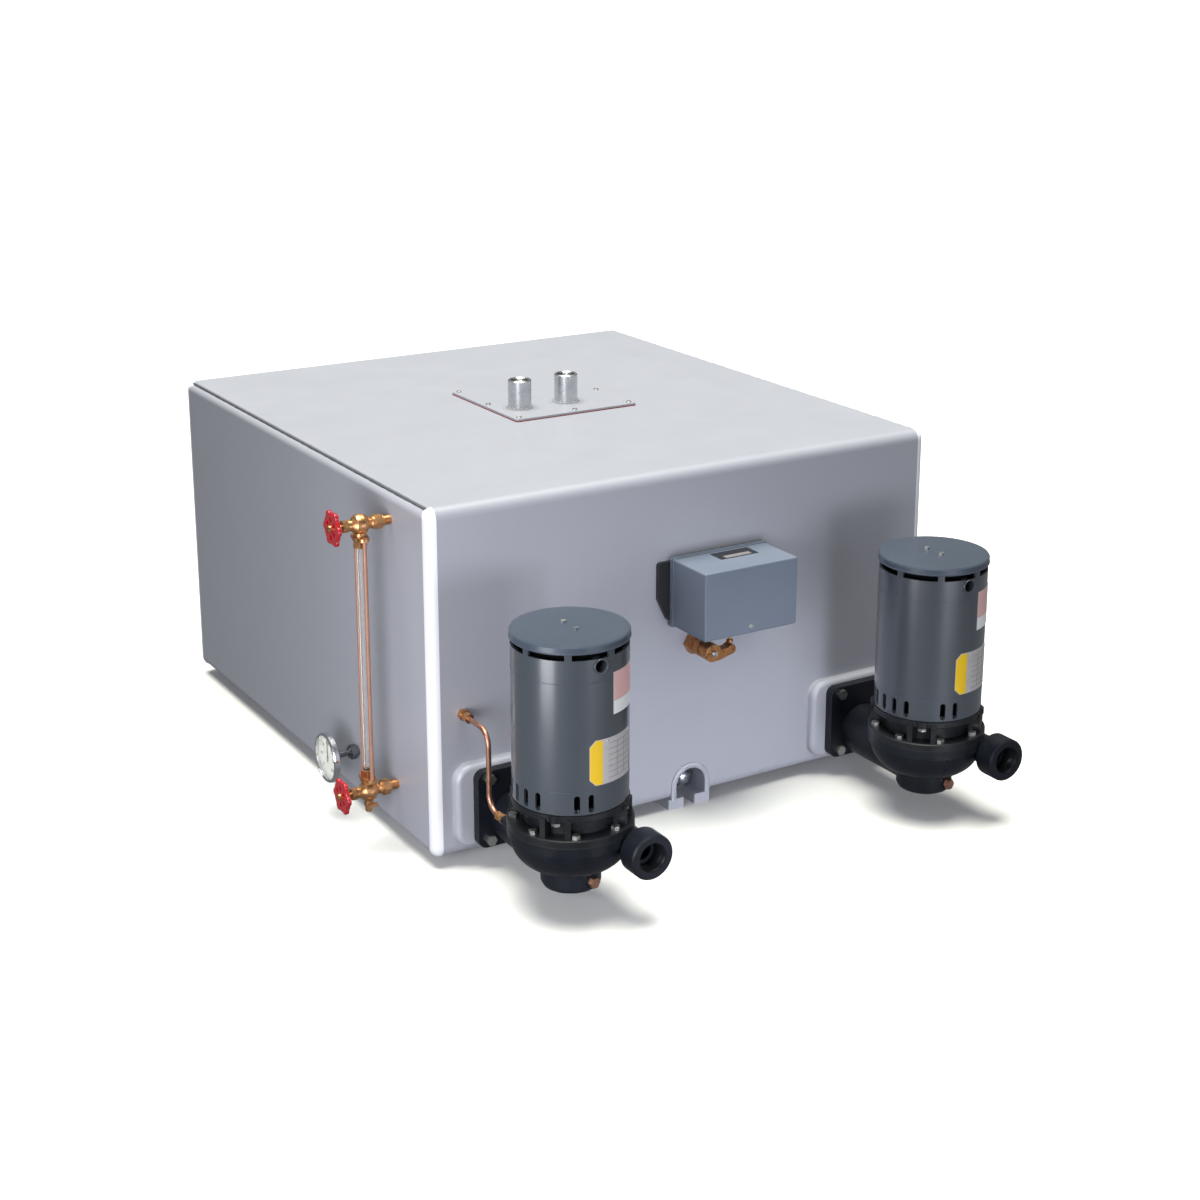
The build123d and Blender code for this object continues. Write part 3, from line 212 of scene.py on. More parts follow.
def tank_paint(name, colour, rough=0.38, metalness=0.25):
    """Silver enamel sprayed over rolled plate: faint mottling, rolling marks and gentle waviness of the sheet."""
    m = Mat(name)
    cloud = m.noise(3.2, 5, 0.62)
    mott = m.noise(26, 5, 0.65, offset=(2, 5, 1))
    fleck = m.noise(1500, 1, 0.5)
    wave = m.noise(5.5, 2, 0.5, offset=(8, 8, 1))
    roll = m.noise(60, 3, 0.5, stretch=(1, 1, 14))
    base = m.ramp(cloud, "Fac", ((0.28, shade(colour, 0.985)), (0.5, colour), (0.72, shade(colour, 1.015))))
    a = m.mix(m.remap(mott, "Fac", 0.0, 0.06, 0.42, 0.72), "Result", base, "Color", shade(colour, 0.80), None)
    b = m.mix(m.remap(fleck, "Fac", 0.0, 0.20, 0.5, 0.8), "Result", a, 2, shade(colour, 1.35), None)
    m.link(b, 2, m.bsdf, "Base Color")
    rr = m.remap(m.noise(11, 5, 0.65, offset=(1, 3, 4)), "Fac", rough - 0.03, rough + 0.05)
    m.link(rr, "Result", m.bsdf, "Roughness")
    m.set(metal=metalness, coat=0.10, coat_rough=0.34)
    m.bump((wave, "Fac", 0.22, 0.003), (roll, "Fac", 0.25, 0.00008), (m.noise(260, 3, 0.55, offset=(3, 3, 3)), "Fac", 0.3, 0.00005))
    return m


M = {
    "tank": tank_paint("tank silver enamel", (0.376, 0.384, 0.446), 0.44, 0.06),
    "pad": tank_paint("pad silver enamel", (0.425, 0.433, 0.497), 0.40, 0.08),
    # a near-white copy of the tank enamel: painted highlight on the rolled edges
    "edge": tank_paint("rolled edge painted highlight", (0.85, 0.86, 0.92), 0.36, 0.06),
    "weld": enamel("painted weld", (0.43, 0.435, 0.467), 0.34, 0.12, 30, 0.0001, 0.2),
    "motor": enamel("motor grey enamel", (0.052, 0.062, 0.078), 0.30, 0.05, 2.5, 0.00002, 0.1, 0.8, spec=0.7, uneven=0.25),
    # dark grey for the painted shadow line along the top joints
    "seam": enamel("painted joint shadow", (0.10, 0.105, 0.12), 0.6, 0.15, 40, 0.0001),
    "cap": enamel("cap grey enamel", (0.057, 0.074, 0.106), 0.36, 0.06, 8, 0.00005, 0.1, 0.2),
    # flat black without gloss: painted shade inside openings
    "painted_shade_black": enamel("black painted shade", (0.0025, 0.0025, 0.003), 0.8, 0.1, 20, 0.0001, spec=0.05),
    "cast": cast("blue-black casting", (0.0058, 0.0075, 0.0125), 0.40, 0.0005, 0.28, 0.06),
    "cast_up": cast("black casting", (0.0072, 0.0082, 0.0110), 0.38, 0.0005, 0.36, 0.10),
    "box": enamel("switch enamel", (0.160, 0.191, 0.256), 0.42, 0.05, 9, 0.00008, 0.0, 0.12),
    "plate_black": enamel("black plate", (0.010, 0.011, 0.016), 0.35, 0.1, 12, 0.00005, 0.0, 0.2),
    "zinc": metal("zinc plate", (0.62, 0.62, 0.60), 0.32, 0.12, (1, 1, 9), (0.40, 0.38, 0.33)),
    "steel": metal("coupling steel", (0.60, 0.61, 0.63), 0.30, 0.06, (1, 1, 9), (0.50, 0.51, 0.53)),
    "dark_steel": metal("oiled steel", (0.37, 0.40, 0.47), 0.28, 0.14, (1, 9, 1), (0.14, 0.15, 0.18)),
    "brass": metal("turned brass", (0.70, 0.385, 0.18), 0.36, 0.18, (9, 1, 1), (0.30, 0.12, 0.045)),
    "brass_old": metal("dull brass", (0.56, 0.27, 0.11), 0.34, 0.2, (9, 1, 1), (0.20, 0.06, 0.025)),
    "copper": metal("drawn copper", (0.52, 0.28, 0.20), 0.42, 0.14, (1, 1, 0.06), (0.30, 0.14, 0.09)),
    "bezel": two_tone(metal("bezel and stem", (0.70, 0.71, 0.73), 0.16, 0.06, (1, 1, 1)), "X", (OX - 497) / 1000, (0.20, 0.20, 0.22)),
    "back_plate": two_tone(enamel("switch back plate", (0.160, 0.191, 0.256), 0.42, 0.05, 9, 0.00008, 0.0, 0.12), "Y", (OY - 6.05) / 1000, (0.008, 0.009, 0.013)),
    "rod": enamel("drawn copper rod", (0.44, 0.235, 0.175), 0.48, 0.10, 60, 0.00003, 0.4, spec=0.3, uneven=0.5),
    "red": enamel("red enamel", (0.40, 0.006, 0.014), 0.26, 0.12, 40, 0.00008, 0.0, 0.5),
    "chrome": metal("plated bezel", (0.74, 0.75, 0.77), 0.12, 0.05, (1, 1, 1)),
    "white": enamel("white enamel dial", (0.86, 0.86, 0.84), 0.3, 0.02, 30, 0.00002),
    "ink": enamel("black ink", (0.02, 0.02, 0.022), 0.5, 0.1, 60, 0.00001),
    "gasket": enamel("red sheet gasket", (0.30, 0.065, 0.05), 0.75, 0.2, 60, 0.0002),
    "gasket_dark": enamel("black sheet gasket", (0.010, 0.010, 0.012), 0.7, 0.2, 60, 0.0002),
    "impeller": metal("cast bronze", (0.50, 0.34, 0.17), 0.42, 0.2, (1, 1, 1), (0.22, 0.12, 0.06), 0.0002),
    "shaft": metal("ground steel", (0.60, 0.60, 0.62), 0.22, 0.06, (1, 1, 20)),
    "laminations": metal("stacked laminations", (0.30, 0.30, 0.31), 0.4, 0.1, (1, 1, 60), None, 0.0002),
    "winding": enamel("varnished winding", (0.20, 0.05, 0.012), 0.35, 0.3, 150, 0.0006),
    "plastic": enamel("black moulded plastic", (0.012, 0.012, 0.013), 0.45, 0.05, 30, 0.0001),
    "foil": enamel("aluminium plate", (0.50, 0.485, 0.50), 0.42, 0.06, 90, 0.00002, 0.35, spec=0.4, uneven=0.4),
    "yellow": enamel("yellow print", (0.72, 0.46, 0.005), 0.38, 0.04, 40, 0.00002, 0.0, 0.2),
    "paper": enamel("white print", (0.72, 0.73, 0.76), 0.45, 0.03, 40, 0.00002),
    "pink": enamel("pink print", (0.66, 0.40, 0.40), 0.45, 0.04, 40, 0.00002),
    "grey_ink": enamel("grey print", (0.22, 0.20, 0.21), 0.5, 0.06, 40, 0.00002),
    "stainless": metal("float steel", (0.60, 0.61, 0.62), 0.28, 0.08, (1, 1, 6)),
}

g = Mat("gauge glass")
g.set(rough=0.04, trans=0.96, ior=1.10, spec=0.25)
gn = g.noise(40, 3, 0.5, stretch=(1, 1, 0.1))
gr = g.ramp(gn, "Fac", ((0.3, (0.93, 0.94, 0.94)), (0.7, (0.97, 0.98, 0.97))))
g.link(gr, "Color", g.bsdf, "Base Color")
M["glass"] = g
g = Mat("dial lens")
g.set(rough=0.03, trans=1.0, ior=1.45)
gn = g.noise(60, 2, 0.5)
gr = g.ramp(gn, "Fac", ((0.3, (0.95, 0.97, 0.97)), (0.7, (1.0, 1.0, 1.0))))
g.link(gr, "Color", g.bsdf, "Base Color")
M["lens"] = g


def use(key, *nodes):
    for n in nodes:
        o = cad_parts[n]
        if not o.material_slots:
            o.data.materials.append(M[key].m)
        for s in o.material_slots:
            s.material = M[key].m


use("tank", "tank_wrap", "tank_head_left", "tank_head_right", "base_rails", "drain_pocket", "drain_feet", "cover_plate")
use("pad", "pump_pads")
use("dark_steel", "drain_coupling", "drain_plug")
use("gasket", "cover_gasket")
use("gasket_dark", "pump_gaskets")
use("zinc", "cover_screws", "cap_screws", "pump_bolts")
use("steel", "top_couplings")
use("brass", "gauge_valve_upper", "gauge_valve_lower", "gauge_nuts", "gauge_stem_upper", "gauge_stem_lower", "drain_cock_key", "vent_fittings")
use("glass", "gauge_glass")
use("rod", "gauge_rods")
use("copper", "vent_tubes", "casing_plugs")
use("red", "gauge_wheel_upper", "gauge_wheel_lower")
use("bezel", "thermometer_case")
use("white", "thermometer_dial")
use("ink", "thermometer_pointer")
use("lens", "thermometer_lens")
use("back_plate", "switch_bracket")
use("box", "switch_cover")
use("plastic", "switch_contacts")
use("brass_old", "float_bushing", "float_lever", "switch_plunger")
use("stainless", "float_shaft", "float_rod", "float_ball")
use("cast", "pump_casing_left", "pump_casing_right")
use("cast_up", "motor_adapter_left", "motor_adapter_right")
use("impeller", "impeller_left", "impeller_right")
use("shaft", "motor_shaft_left", "motor_shaft_right", "motor_bearings")
use("laminations", "motor_rotor_left", "motor_rotor_right", "motor_stators")
use("motor", "motor_shell_left", "motor_shell_right", "lower_end_bells", "upper_end_bells")
use("cap", "drip_caps")
use("foil", "motor_plates")


# -------------------------------------------------------------- mesh helpers
def finish_mesh(bm, name, mat, body="receiver", smooth=True, angle=35):
    bmesh.ops.recalc_face_normals(bm, faces=bm.faces)
    me = bpy.data.meshes.new(name)
    bm.to_mesh(me)
    bm.free()
    if smooth:
        me.shade_smooth()
        me.set_sharp_from_angle(angle=math.radians(angle))
    me.materials.append(M[mat].m)
    o = bpy.data.objects.new(name, me)
    bpy.context.scene.collection.objects.link(o)
    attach(o, body)
    return o


def frame_of(n):
    """Two directions square to n."""
    n = Vector(n).normalized()
    up = Vector((0, 0, 1)) if abs(n.z) < 0.9 else Vector((0, 1, 0))
    u = up.cross(n).normalized()
    return u, n.cross(u).normalized(), n


def tube(bm, pts, r, seg=12, closed=False, radii=None, caps=True):
    """A round tube along points; radii may vary from point to point."""
    n = len(pts)
    rings = []
    prev = None
    for i, p in enumerate(pts):
        a = pts[(i - 1) % n] if closed or i else pts[0]
        b = pts[(i + 1) % n] if closed or i < n - 1 else pts[-1]
        t = (b - a).normalized()
        if prev is None:
            u, v, _ = frame_of(t)
        else:
            u = (prev - t * prev.dot(t)).normalized()
            v = t.cross(u)
        prev = u
        rr = radii[i] if radii else r
        rings.append([bm.verts.new(p + (u * math.cos(2 * math.pi * k / seg) + v * math.sin(2 * math.pi * k / seg)) * rr) for k in range(seg)])
    last = n if closed else n - 1
    for i in range(last):
        A, B = rings[i], rings[(i + 1) % n]
        for k in range(seg):
            bm.faces.new((A[k], A[(k + 1) % seg], B[(k + 1) % seg], B[k]))
    if caps and not closed:
        bm.faces.new(rings[0])
        bm.faces.new(list(reversed(rings[-1])))


def lathe(bm, profile, origin, axis, seg=48):
    """profile of (radius, height along axis) in mm, closed into a ring or a solid."""
    u, v, n = frame_of(axis)
    rows = []
    for r, h in profile:
        if r < 1e-6:
            rows.append([bm.verts.new(origin + n * h / 1000)])
        else:
            rows.append([bm.verts.new(origin + n * h / 1000 + (u * math.cos(2 * math.pi * k / seg) + v * math.sin(2 * math.pi * k / seg)) * r / 1000) for k in range(seg)])
    pairs = list(zip(rows, rows[1:]))
    if len(rows[0]) > 1 and len(rows[-1]) > 1:
        pairs.append((rows[-1], rows[0]))
    for A, B in pairs:
        for k in range(seg):
            a, b = A[k % len(A)], A[(k + 1) % len(A)]
            c, d = B[(k + 1) % len(B)], B[k % len(B)]
            face = [a]
            for w in (b, c, d):
                if w not in face:
                    face.append(w)
            if len(face) > 2:
                bm.faces.new(face)


def curved_plate(bm, axis_xy, r0, r1, a0, a1, z0, z1, cut=0.0, steps=14):
    """A thin plate wrapped on a cylinder; angles from -Y toward +X, in degrees; cut chamfers the two corners at a0."""
    cx, cy = axis_xy
    cols = []
    for i in range(steps + 1):
        a = a0 + (a1 - a0) * i / steps
        lo, hi = z0, z1
        if cut:
            arc = math.radians(a - a0) * r1
            k = max(0.0, cut - arc)
            lo, hi = z0 + k, z1 - k
        s, c = math.sin(math.radians(a)), -math.cos(math.radians(a))
        cols.append([bm.verts.new(T(cx + r * s, cy + r * c, z)) for r, z in ((r0, lo), (r1, lo), (r1, hi), (r0, hi))])
    for A, B in zip(cols, cols[1:]):
        for k in range(4):
            bm.faces.new((A[k], A[(k + 1) % 4], B[(k + 1) % 4], B[k]))
    bm.faces.new(cols[0])
    bm.faces.new(list(reversed(cols[-1])))


def slab(bm, lo, hi, bevel=0.0):
    """A block between two corners given in mm from the receiver, with bevelled edges."""
    r = bmesh.ops.create_cube(bm, size=1.0)
    a, b = T(*lo), T(*hi)
    mid, size = (a + b) / 2, b - a
    for v in r["verts"]:
        v.co = Vector((mid.x + v.co.x * size.x, mid.y + v.co.y * size.y, mid.z + v.co.z * size.z))
    if bevel:
        es = list({e for v in r["verts"] for e in v.link_edges})
        bmesh.ops.bevel(bm, geom=es, offset=bevel / 1000, segments=3, affect="EDGES", profile=0.6)


def helix(bm, origin, axis, r, pitch, length, thick, start=0.0, seg=6, per=40):
    """A raised thread as a thin coil."""
    u, v, n = frame_of(axis)
    turns = length / pitch
    k = int(per * turns)
    pts, rad = [], []
    for i in range(k + 1):
        a = 2 * math.pi * turns * i / k
        pts.append(origin + n * (start + pitch * a / (2 * math.pi)) / 1000 + (u * math.cos(a) + v * math.sin(a)) * r / 1000)
        f = min(1.0, i / 12, (k - i) / 12)
        rad.append(thick / 1000 * max(0.12, f))
    tube(bm, pts, 0, seg, radii=rad)


def ripple(i, amount):
    return 1 + amount * math.sin(i * 1.7) + amount * 0.6 * math.sin(i * 0.61 + 1.3)


# --------------------------------------------------- receiver: welds and trim
def rounded_loop(cx_, cz_, w, h, r, step, plane):
    """Points of a rounded rectangle, given as a function of two coordinates."""
    pts = []
    corners = ((w / 2 - r, h / 2 - r, 0), (-w / 2 + r, h / 2 - r, 90), (-w / 2 + r, -h / 2 + r, 180), (w / 2 - r, -h / 2 + r, 270))
    for i, (px, pz, a0) in enumerate(corners):
        n = max(5, int(r * math.pi / 2 / step))
        for k in range(n + 1):
            a = math.radians(a0 + 90 * k / n)
            pts.append((cx_ + px + r * math.cos(a), cz_ + pz + r * math.sin(a)))
        nx, nz, na = corners[(i + 1) % 4]
        a = math.radians(a0 + 90)
        s = (cx_ + px + r * math.cos(a), cz_ + pz + r * math.sin(a))
        e = (cx_ + nx + r * math.cos(a), cz_ + nz + r * math.sin(a))
        d = math.dist(s, e)
        m = int(d / step)
        for k in range(1, m):
            pts.append((s[0] + (e[0] - s[0]) * k / m, s[1] + (e[1] - s[1]) * k / m))
    return [plane(a, b) for a, b in pts]


for side, sx in (("left", -1), ("right", 1)):
    bm = bmesh.new()
    loop = rounded_loop(489, 273, 978 - 8.6, 546 - 8.6, 12.7, 3.0, lambda a, b: T(sx * 447.4, a, b))
    tube(bm, loop, 0.0012, 8, closed=True, radii=[0.0012 * ripple(i, 0.16) for i in range(len(loop))])
    finish_mesh(bm, "head_weld_" + side, "weld")
    # dark tube along the joint at the top edge: painted shadow under the wrap's edge
    bm = bmesh.new()
    pts = [T(sx * 447.9, 19 + 940 * k / 120, 542.6) for k in range(121)]
    tube(bm, pts, 0.0019, 8, radii=[0.0019 * ripple(i, 0.10) for i in range(121)])
    finish_mesh(bm, "joint_shadow_" + side, "seam")

# the four upright edges, rolled round from the heads into the front and the back, in a near-white copy of the tank
# enamel: painted highlight
upright = [(27 - k * 2.5, 0.0, 0.0, -1.0, 0.74 + 0.065 * k) for k in range(4)]
for k in range(13):
    a = math.radians(7.5 * k)
    upright.append((17 - 17 * math.sin(a), 17 - 17 * math.cos(a), -math.sin(a), -math.cos(a), 1.0))
for k in range(1, 24):
    upright.append((0.0, 17 + 512 * k / 24, -1.0, 0.0, 1.0))
for k in range(13):
    a = math.radians(7.5 * k)
    upright.append((17 - 17 * math.cos(a), 529 + 17 * math.sin(a), -math.cos(a), math.sin(a), 1.0))
upright += [(19.5 + k * 2.5, 546.0, 0.0, 1.0, 0.935 - 0.065 * k) for k in range(4)]
section = [(442.05, -0.05)]
for k in range(1, 13):
    t = math.radians(7.5 * k)
    section.append((442.05 + 15.05 * math.sin(t), 15.0 - 15.05 * math.cos(t)))
section.append((457.03, 16.7))
for k in range(8):
    t = math.radians(90 - 90 * k / 7)
    section.append((442.05 + 12.6 * math.sin(t), 15.4 - 12.6 * math.cos(t)))
for side, sx in (("left", -1), ("right", 1)):
    for face in ("front", "back"):
        bm = bmesh.new()
        rings = []
        for y, z, ny, nz, k in upright:
            ring = []
            for x, d in section:
                xs, ds = 442.05 + (x - 442.05) * k, 15.0 + (d - 15.0) * k
                yy, zz = y - ny * ds, z - nz * ds
                ring.append(bm.verts.new(T(sx * xs, yy if face == "front" else 978 - yy, zz)))
            rings.append(ring)
        for A, B in zip(rings, rings[1:]):
            for q in range(len(section)):
                w = (q + 1) % len(section)
                bm.faces.new((A[q], A[w], B[w], B[q]))
        bm.faces.new(rings[0])
        bm.faces.new(list(reversed(rings[-1])))
        finish_mesh(bm, "corner_round_" + side + "_" + face, "edge", angle=50)

for side, dx in PUMPS:
    bm = bmesh.new()
    loop = rounded_loop(dx, 82, 180, 132, 26, 2.6, lambda a, b: T(a, -0.2, b))
    tube(bm, loop, 0.0011, 8, closed=True, radii=[0.0011 * ripple(i, 0.2) for i in range(len(loop))])
    finish_mesh(bm, "pad_weld_" + side, "weld")

# fillet welds round the two couplings and a thread inside each
for i, x in enumerate((-49, 42)):
    bm = bmesh.new()
    n = 90
    ring = [T(x + 20.8 * math.cos(2 * math.pi * k / n), 462 + 20.8 * math.sin(2 * math.pi * k / n), 546 + 5.4) for k in range(n)]
    tube(bm, ring, 0.002, 8, closed=True, radii=[0.0021 * ripple(k, 0.2) for k in range(n)])
    finish_mesh(bm, f"coupling_weld_{i}", "weld")
    bm = bmesh.new()
    helix(bm, T(x, 462, 546 + 22), (0, 0, 1), 15.2, 2.2, 28, 0.55)
    finish_mesh(bm, f"coupling_thread_{i}", "steel")

# rim of the arched recess
bm = bmesh.new()
pts = []
for k in range(24):
    pts.append(T(31.8, 1.4, 1.0 + 20.5 * k / 23))
for k in range(1, 48):
    a = math.pi * k / 48
    pts.append(T(31.8 * math.cos(a), 1.4, 21.5 + 31.8 * math.sin(a)))
for k in range(24):
    pts.append(T(-31.8, 1.4, 21.5 - 20.5 * k / 23))
tube(bm, pts, 0.0047, 14, radii=[0.0047 * ripple(i, 0.02) for i in range(len(pts))])
finish_mesh(bm, "recess_rim", "tank")

# ----------------------------------------------------------- pumps and motors
for side, dx in PUMPS:
    ax = (dx, -OUT)
    # black rings behind the cooling slots and the notches under the cap: painted shade inside the openings
    bm = bmesh.new()
    lathe(bm, ((71.2, 0), (72.0, 0), (72.0, 31), (71.2, 31)), T(dx, -OUT, 163), (0, 0, 1), 64)
    finish_mesh(bm, "slot_painted_shade_" + side, "painted_shade_black")
    bm = bmesh.new()
    lathe(bm, ((71.2, 0), (72.0, 0), (72.0, 31.5), (71.2, 31.5)), T(dx, -OUT, 366.3), (0, 0, 1), 64)
    finish_mesh(bm, "crown_painted_shade_" + side, "painted_shade_black")
    # raised lip round the cap and round the conduit entry
    bm = bmesh.new()
    n = 120
    ring = [T(dx + 85.0 * math.cos(2 * math.pi * k / n), -OUT + 85.0 * math.sin(2 * math.pi * k / n), 399.2) for k in range(n)]
    tube(bm, ring, 0.0011, 8, closed=True)
    finish_mesh(bm, "cap_bead_" + side, "cap")
    bm = bmesh.new()
    lathe(bm, ((8.9, 0), (11.5, 0), (11.5, 1.2), (11.0, 2.0), (9.7, 2.0), (8.9, 1.4)), T(dx, -OUT - 84.0, 378), (0, -1, 0), 40)
    finish_mesh(bm, "conduit_lip_" + side, "motor")
    # a black disc inside the conduit entry: painted shade in the opening
    bm = bmesh.new()
    lathe(bm, ((0, 0), (8.8, 0), (8.8, 0.8), (0, 0.8)), T(dx, -OUT - 71, 378), (0, -1, 0), 32)
    finish_mesh(bm, "conduit_painted_shade_" + side, "painted_shade_black")
    # joint lines where the end bells meet the shell
    for k, z in enumerate((195.0, 355.0)):
        bm = bmesh.new()
        n = 120
        ring = [T(dx + 84.02 * math.cos(2 * math.pi * j / n), -OUT + 84.02 * math.sin(2 * math.pi * j / n), z) for j in range(n)]
        tube(bm, ring, 0.00035, 6, closed=True)
        finish_mesh(bm, f"shell_joint_{k}_" + side, "cap")
    # rolled seam of the shell, at the back
    bm = bmesh.new()
    pts = [T(dx - 60 * 0.98, -OUT + 60, 196 + 158 * k / 20) for k in range(21)]
    tube(bm, pts, 0.0007, 6)
    finish_mesh(bm, "shell_seam_" + side, "motor")
    # rating plate print: yellow end with cut corners, blank ruled fields, rivets
    R = 84.65
    bm = bmesh.new()
    curved_plate(bm, ax, R - 0.3, R + 0.16, -11.6, 1.8, 203.8, 269.2, cut=9.0)
    finish_mesh(bm, "plate_yellow_" + side, "yellow")
    bm = bmesh.new()
    for k in range(7):
        z = 210 + 8.6 * k
        curved_plate(bm, ax, R - 0.3, R + 0.12, 9, 41, z, z + 0.7)
    for a in (20.0, 31.0):
        curved_plate(bm, ax, R - 0.3, R + 0.12, a, a + 0.6, 210, 261.6)
    finish_mesh(bm, "plate_rules_" + side, "grey_ink")
    bm = bmesh.new()
    curved_plate(bm, ax, R - 0.3, R + 0.14, 15.4, 51.6, 322, 363.6)
    finish_mesh(bm, "sticker_pink_" + side, "pink")
    bm = bmesh.new()
    curved_plate(bm, ax, R - 0.3, R + 0.14, 15.4, 51.6, 302.4, 321.6)
    finish_mesh(bm, "sticker_white_" + side, "paper")
    bm = bmesh.new()
    for a, z in ((7.5, 206.5), (7.5, 266.5), (42.0, 206.5), (42.0, 266.5)):
        s, c = math.sin(math.radians(a)), -math.cos(math.radians(a))
        lathe(bm, ((0, 0.9), (0.9, 0.75), (1.5, 0.3), (1.6, -0.3), (0, -0.3)), T(dx + R * s, -OUT + R * c, z), (s, c, 0), 12)
    finish_mesh(bm, "plate_rivets_" + side, "steel")
    # threads inside the discharge nozzle, and the casting's parting line
    bm = bmesh.new()
    helix(bm, T(dx + 63, -OUT - 121, 91), (0, 1, 0), 22.2, 2.2, 26, 0.6, start=1.6)
    finish_mesh(bm, "nozzle_thread_" + side, "cast_up")
    bm = bmesh.new()
    pts = []
    prof = ((88.5, 98), (85.6, 84), (77.6, 69), (64.1, 57.6), (52, 51.6))
    for r, z in prof:
        pts.append(T(dx - r * math.sin(math.radians(18)), -OUT - r * math.cos(math.radians(18)), z))
    tube(bm, pts, 0.0012, 8)
    finish_mesh(bm, "casting_seam_" + side, "cast")

# ------------------------------------------------------------------- switch
bm = bmesh.new()
slab(bm, (19, -50, 407.8), (89, -18, 408.5), 0.25)
finish_mesh(bm, "switch_label", "plate_black")
bm = bmesh.new()
slab(bm, (30, -47.5, 408.4), (78, -37, 408.7), 0.1)
finish_mesh(bm, "switch_label_field", "grey_ink")
bm = bmesh.new()
for x, z in ((43.0, 305.0),):
    lathe(bm, ((0, 2.6), (2.4, 2.4), (3.8, 1.2), (4.1, -0.2), (0, -0.2)), T(x, -98, z + 5), (0, -1, 0), 24)
finish_mesh(bm, "switch_cover_screw", "zinc")
# folded lip round the open side of the cover
bm = bmesh.new()
loop = rounded_loop(43, 353.5, 172 + 1.4, 109 + 1.4, 3.6, 2.5, lambda a, b: T(a, -11.4, b))
tube(bm, loop, 0.0012, 8, closed=True)
finish_mesh(bm, "switch_cover_lip", "box")

# -------------------------------------------------------------- thermometer
bm = bmesh.new()
for k in range(61):
    a = math.radians(-135 + 4.5 * k)
    long = 5.2 if k % 10 == 0 else (3.6 if k % 5 == 0 else 2.2)
    w = 0.42 if k % 10 == 0 else 0.24
    d = Vector((0, -math.sin(a), math.cos(a)))
    e = Vector((0, -math.cos(a), -math.sin(a)))
    c = T(-508.15, 266, 82)
    vs = []
    for r, s in ((33 - long, -w), (33 - long, w), (33, w), (33, -w)):
        vs.append(c + d * r / 1000 + e * s / 1000)
    lo = [bm.verts.new(v) for v in vs]
    hi = [bm.verts.new(v + Vector((0.0002, 0, 0))) for v in vs]
    bm.faces.new(lo)
    bm.faces.new(list(reversed(hi)))
    for q in range(4):
        bm.faces.new((lo[q], lo[(q + 1) % 4], hi[(q + 1) % 4], hi[q]))
finish_mesh(bm, "dial_ticks", "ink", smooth=False)
for k in range(7):
    a = math.radians(-135 + 45 * k)
    cu = bpy.data.curves.new(f"dial_number_{k}", "FONT")
    cu.body = str(40 * k)
    cu.size = 0.0075
    cu.align_x = "CENTER"
    cu.align_y = "CENTER"
    cu.extrude = 0.0001
    cu.materials.append(M["ink"].m)
    o = bpy.data.objects.new(f"dial_number_{k}", cu)
    bpy.context.scene.collection.objects.link(o)
    pos = T(-508.2, 266, 82) + Vector((0, -math.sin(a) * 0.0232, math.cos(a) * 0.0232))
    o.matrix_world = Matrix(((0, 0, -1, pos.x), (-1, 0, 0, pos.y), (0, 1, 0, pos.z), (0, 0, 0, 1)))
    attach(o, "receiver")

# -------------------------------------------------------- gauge: thread lines
for nm, z in (("upper", 503.0), ("lower", 80.0)):
    bm = bmesh.new()
    helix(bm, T(-457.6, 123, z), (-1, 0, 0), 7.0, 1.4, 11.5, 0.45, per=24)
    finish_mesh(bm, "shank_thread_" + nm, "brass_old")

# ------------------------------------------------------------ floor and light
bm = bmesh.new()
bmesh.ops.create_circle(bm, cap_ends=True, radius=90, segments=96)
me = bpy.data.meshes.new("floor")
bm.to_mesh(me)
bm.free()
floor = bpy.data.objects.new("floor", me)
bpy.context.scene.collection.objects.link(floor)
fm = Mat("pale floor")
fm.set(rough=0.85, spec=0.15)
fr = fm.ramp(fm.noise(1.3, 3, 0.5), "Fac", ((0.3, (0.80, 0.80, 0.80)), (0.7, (0.83, 0.83, 0.83))))
fm.link(fr, "Color", fm.bsdf, "Base Color")
me.materials.append(fm.m)


def area(name, pos, target, size, power, colour=(1, 1, 1), size_y=None, spread=180):
    li = bpy.data.lights.new(name, "AREA")
    li.energy = power
    li.color = colour
    li.shape = "RECTANGLE" if size_y else "SQUARE"
    li.size = size
    if size_y:
        li.size_y = size_y
    li.spread = math.radians(spread)
    o = bpy.data.objects.new(name, li)
    o.location = pos
    o.rotation_euler = (Vector(target) - Vector(pos)).to_track_quat("-Z", "Y").to_euler()
    bpy.context.scene.collection.objects.link(o)
    return o


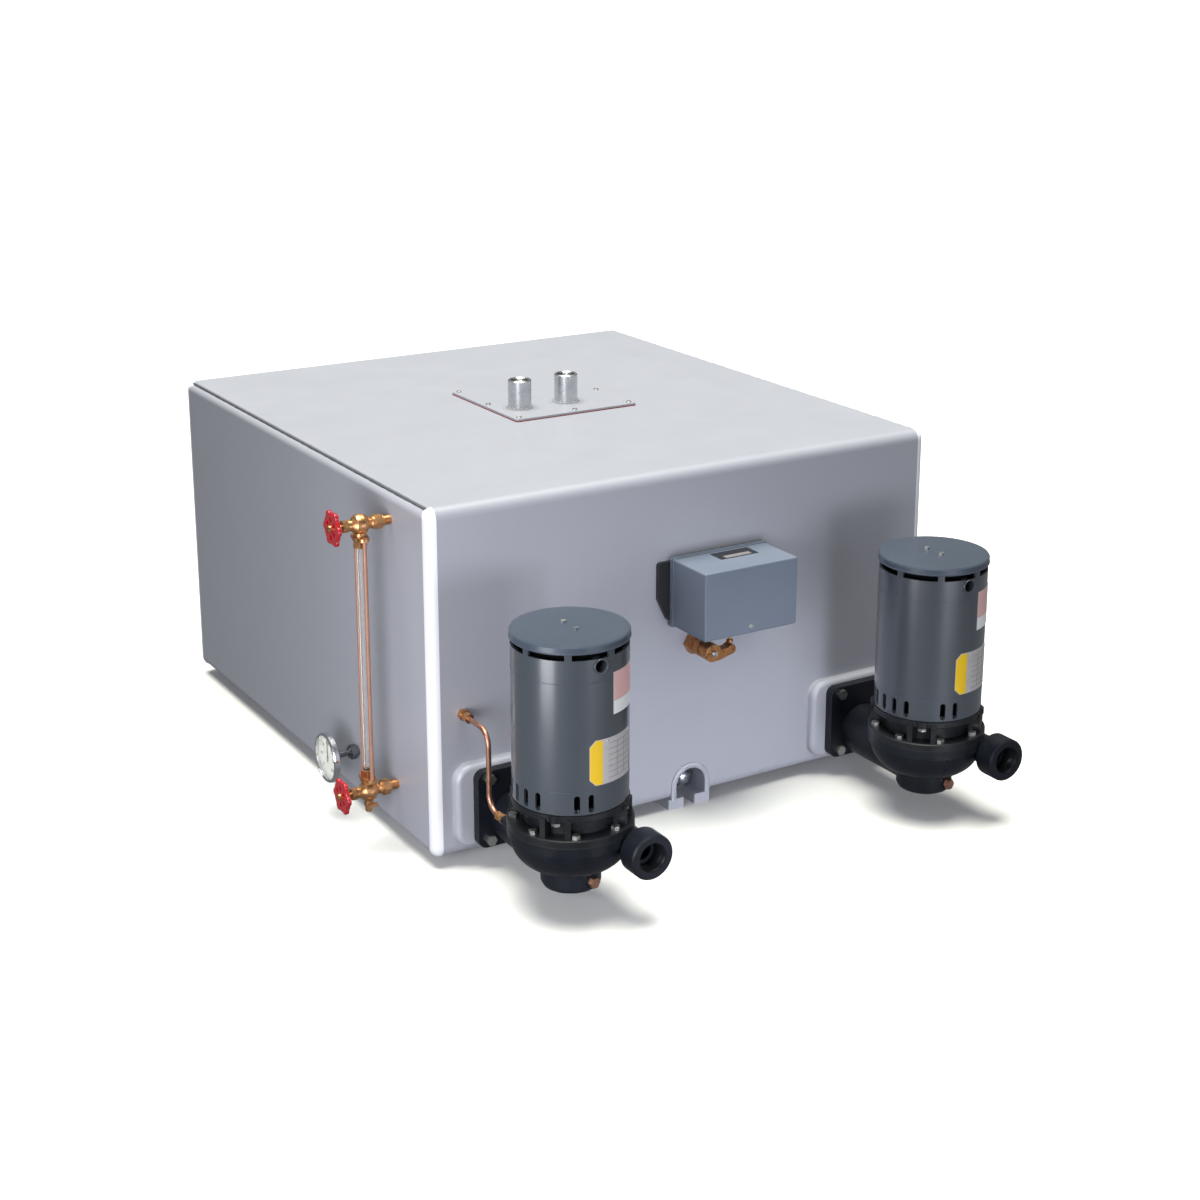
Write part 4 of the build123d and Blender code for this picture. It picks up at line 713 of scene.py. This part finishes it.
sun = bpy.data.lights.new("top", "SUN")
sun.energy = 5.75
sun.color = (0.985, 0.99, 0.89)
sun.angle = math.radians(42)
so = bpy.data.objects.new("top", sun)
so.location = (0, 0, 4)
so.rotation_euler = (Vector((0, 0, 0)) - Vector((-0.02, 0.06, 1.0))).to_track_quat("-Z", "Y").to_euler()
bpy.context.scene.collection.objects.link(so)
key = area("key", (-1.62, -1.47, 0.60), (-0.3, -0.1, 0.26), 0.85, 16.0, (0.97, 0.98, 1.0))
fill = area("fill", (0.25, -2.3, 0.22), (0.15, -0.33, 0.08), 0.9, 7.8, (0.94, 0.96, 1.0), size_y=0.35)
strip = area("strip", (-1.15, -0.80, 0.27), (-0.3, -0.52, 0.24), 0.42, 4.3, (0.96, 0.98, 1.0), size_y=0.5)
low = area("low", (-0.02, -1.95, 0.10), (0.05, -0.33, -0.02), 0.4, 0.99, (0.91, 0.94, 1.0), spread=34)
for o in (so, key, fill, strip, low):
    o.visible_camera = False
floor.visible_diffuse = False
floor.visible_glossy = False

world = bpy.data.worlds.new("studio")
world.use_nodes = True
wt = world.node_tree
bg = wt.nodes["Background"]
bg.inputs["Color"].default_value = (0.95, 0.97, 1.0, 1)
bg.inputs["Strength"].default_value = 0.22
bg2 = wt.nodes.new("ShaderNodeBackground")
bg2.inputs["Color"].default_value = (1.0, 1.0, 1.0, 1)
bg2.inputs["Strength"].default_value = 0.96
path = wt.nodes.new("ShaderNodeLightPath")
both = wt.nodes.new("ShaderNodeMixShader")
wt.links.new(path.outputs["Is Camera Ray"], both.inputs[0])
wt.links.new(bg.outputs[0], both.inputs[1])
wt.links.new(bg2.outputs[0], both.inputs[2])
wt.links.new(both.outputs[0], wt.nodes["World Output"].inputs["Surface"])
bpy.context.scene.world = world
bpy.context.scene.view_settings.view_transform = "Standard"

# --------------------------------------------------------------------- camera
cam = bpy.data.cameras.new("camera")
cam.sensor_fit = "HORIZONTAL"
cam.sensor_width = 36
cam.lens = 2047.823 / 1200 * 36
cam.shift_y = -0.10
cam.clip_end = 200
co = bpy.data.objects.new("camera", cam)
az, pitch = 0.544519, 0.273880
fwd = Vector((math.sin(az) * math.cos(pitch), math.cos(az) * math.cos(pitch), -math.sin(pitch)))
co.location = T(-1691.562, -2514.371, 1376.434)
co.rotation_euler = fwd.to_track_quat("-Z", "Y").to_euler()
bpy.context.scene.collection.objects.link(co)
bpy.context.scene.camera = co
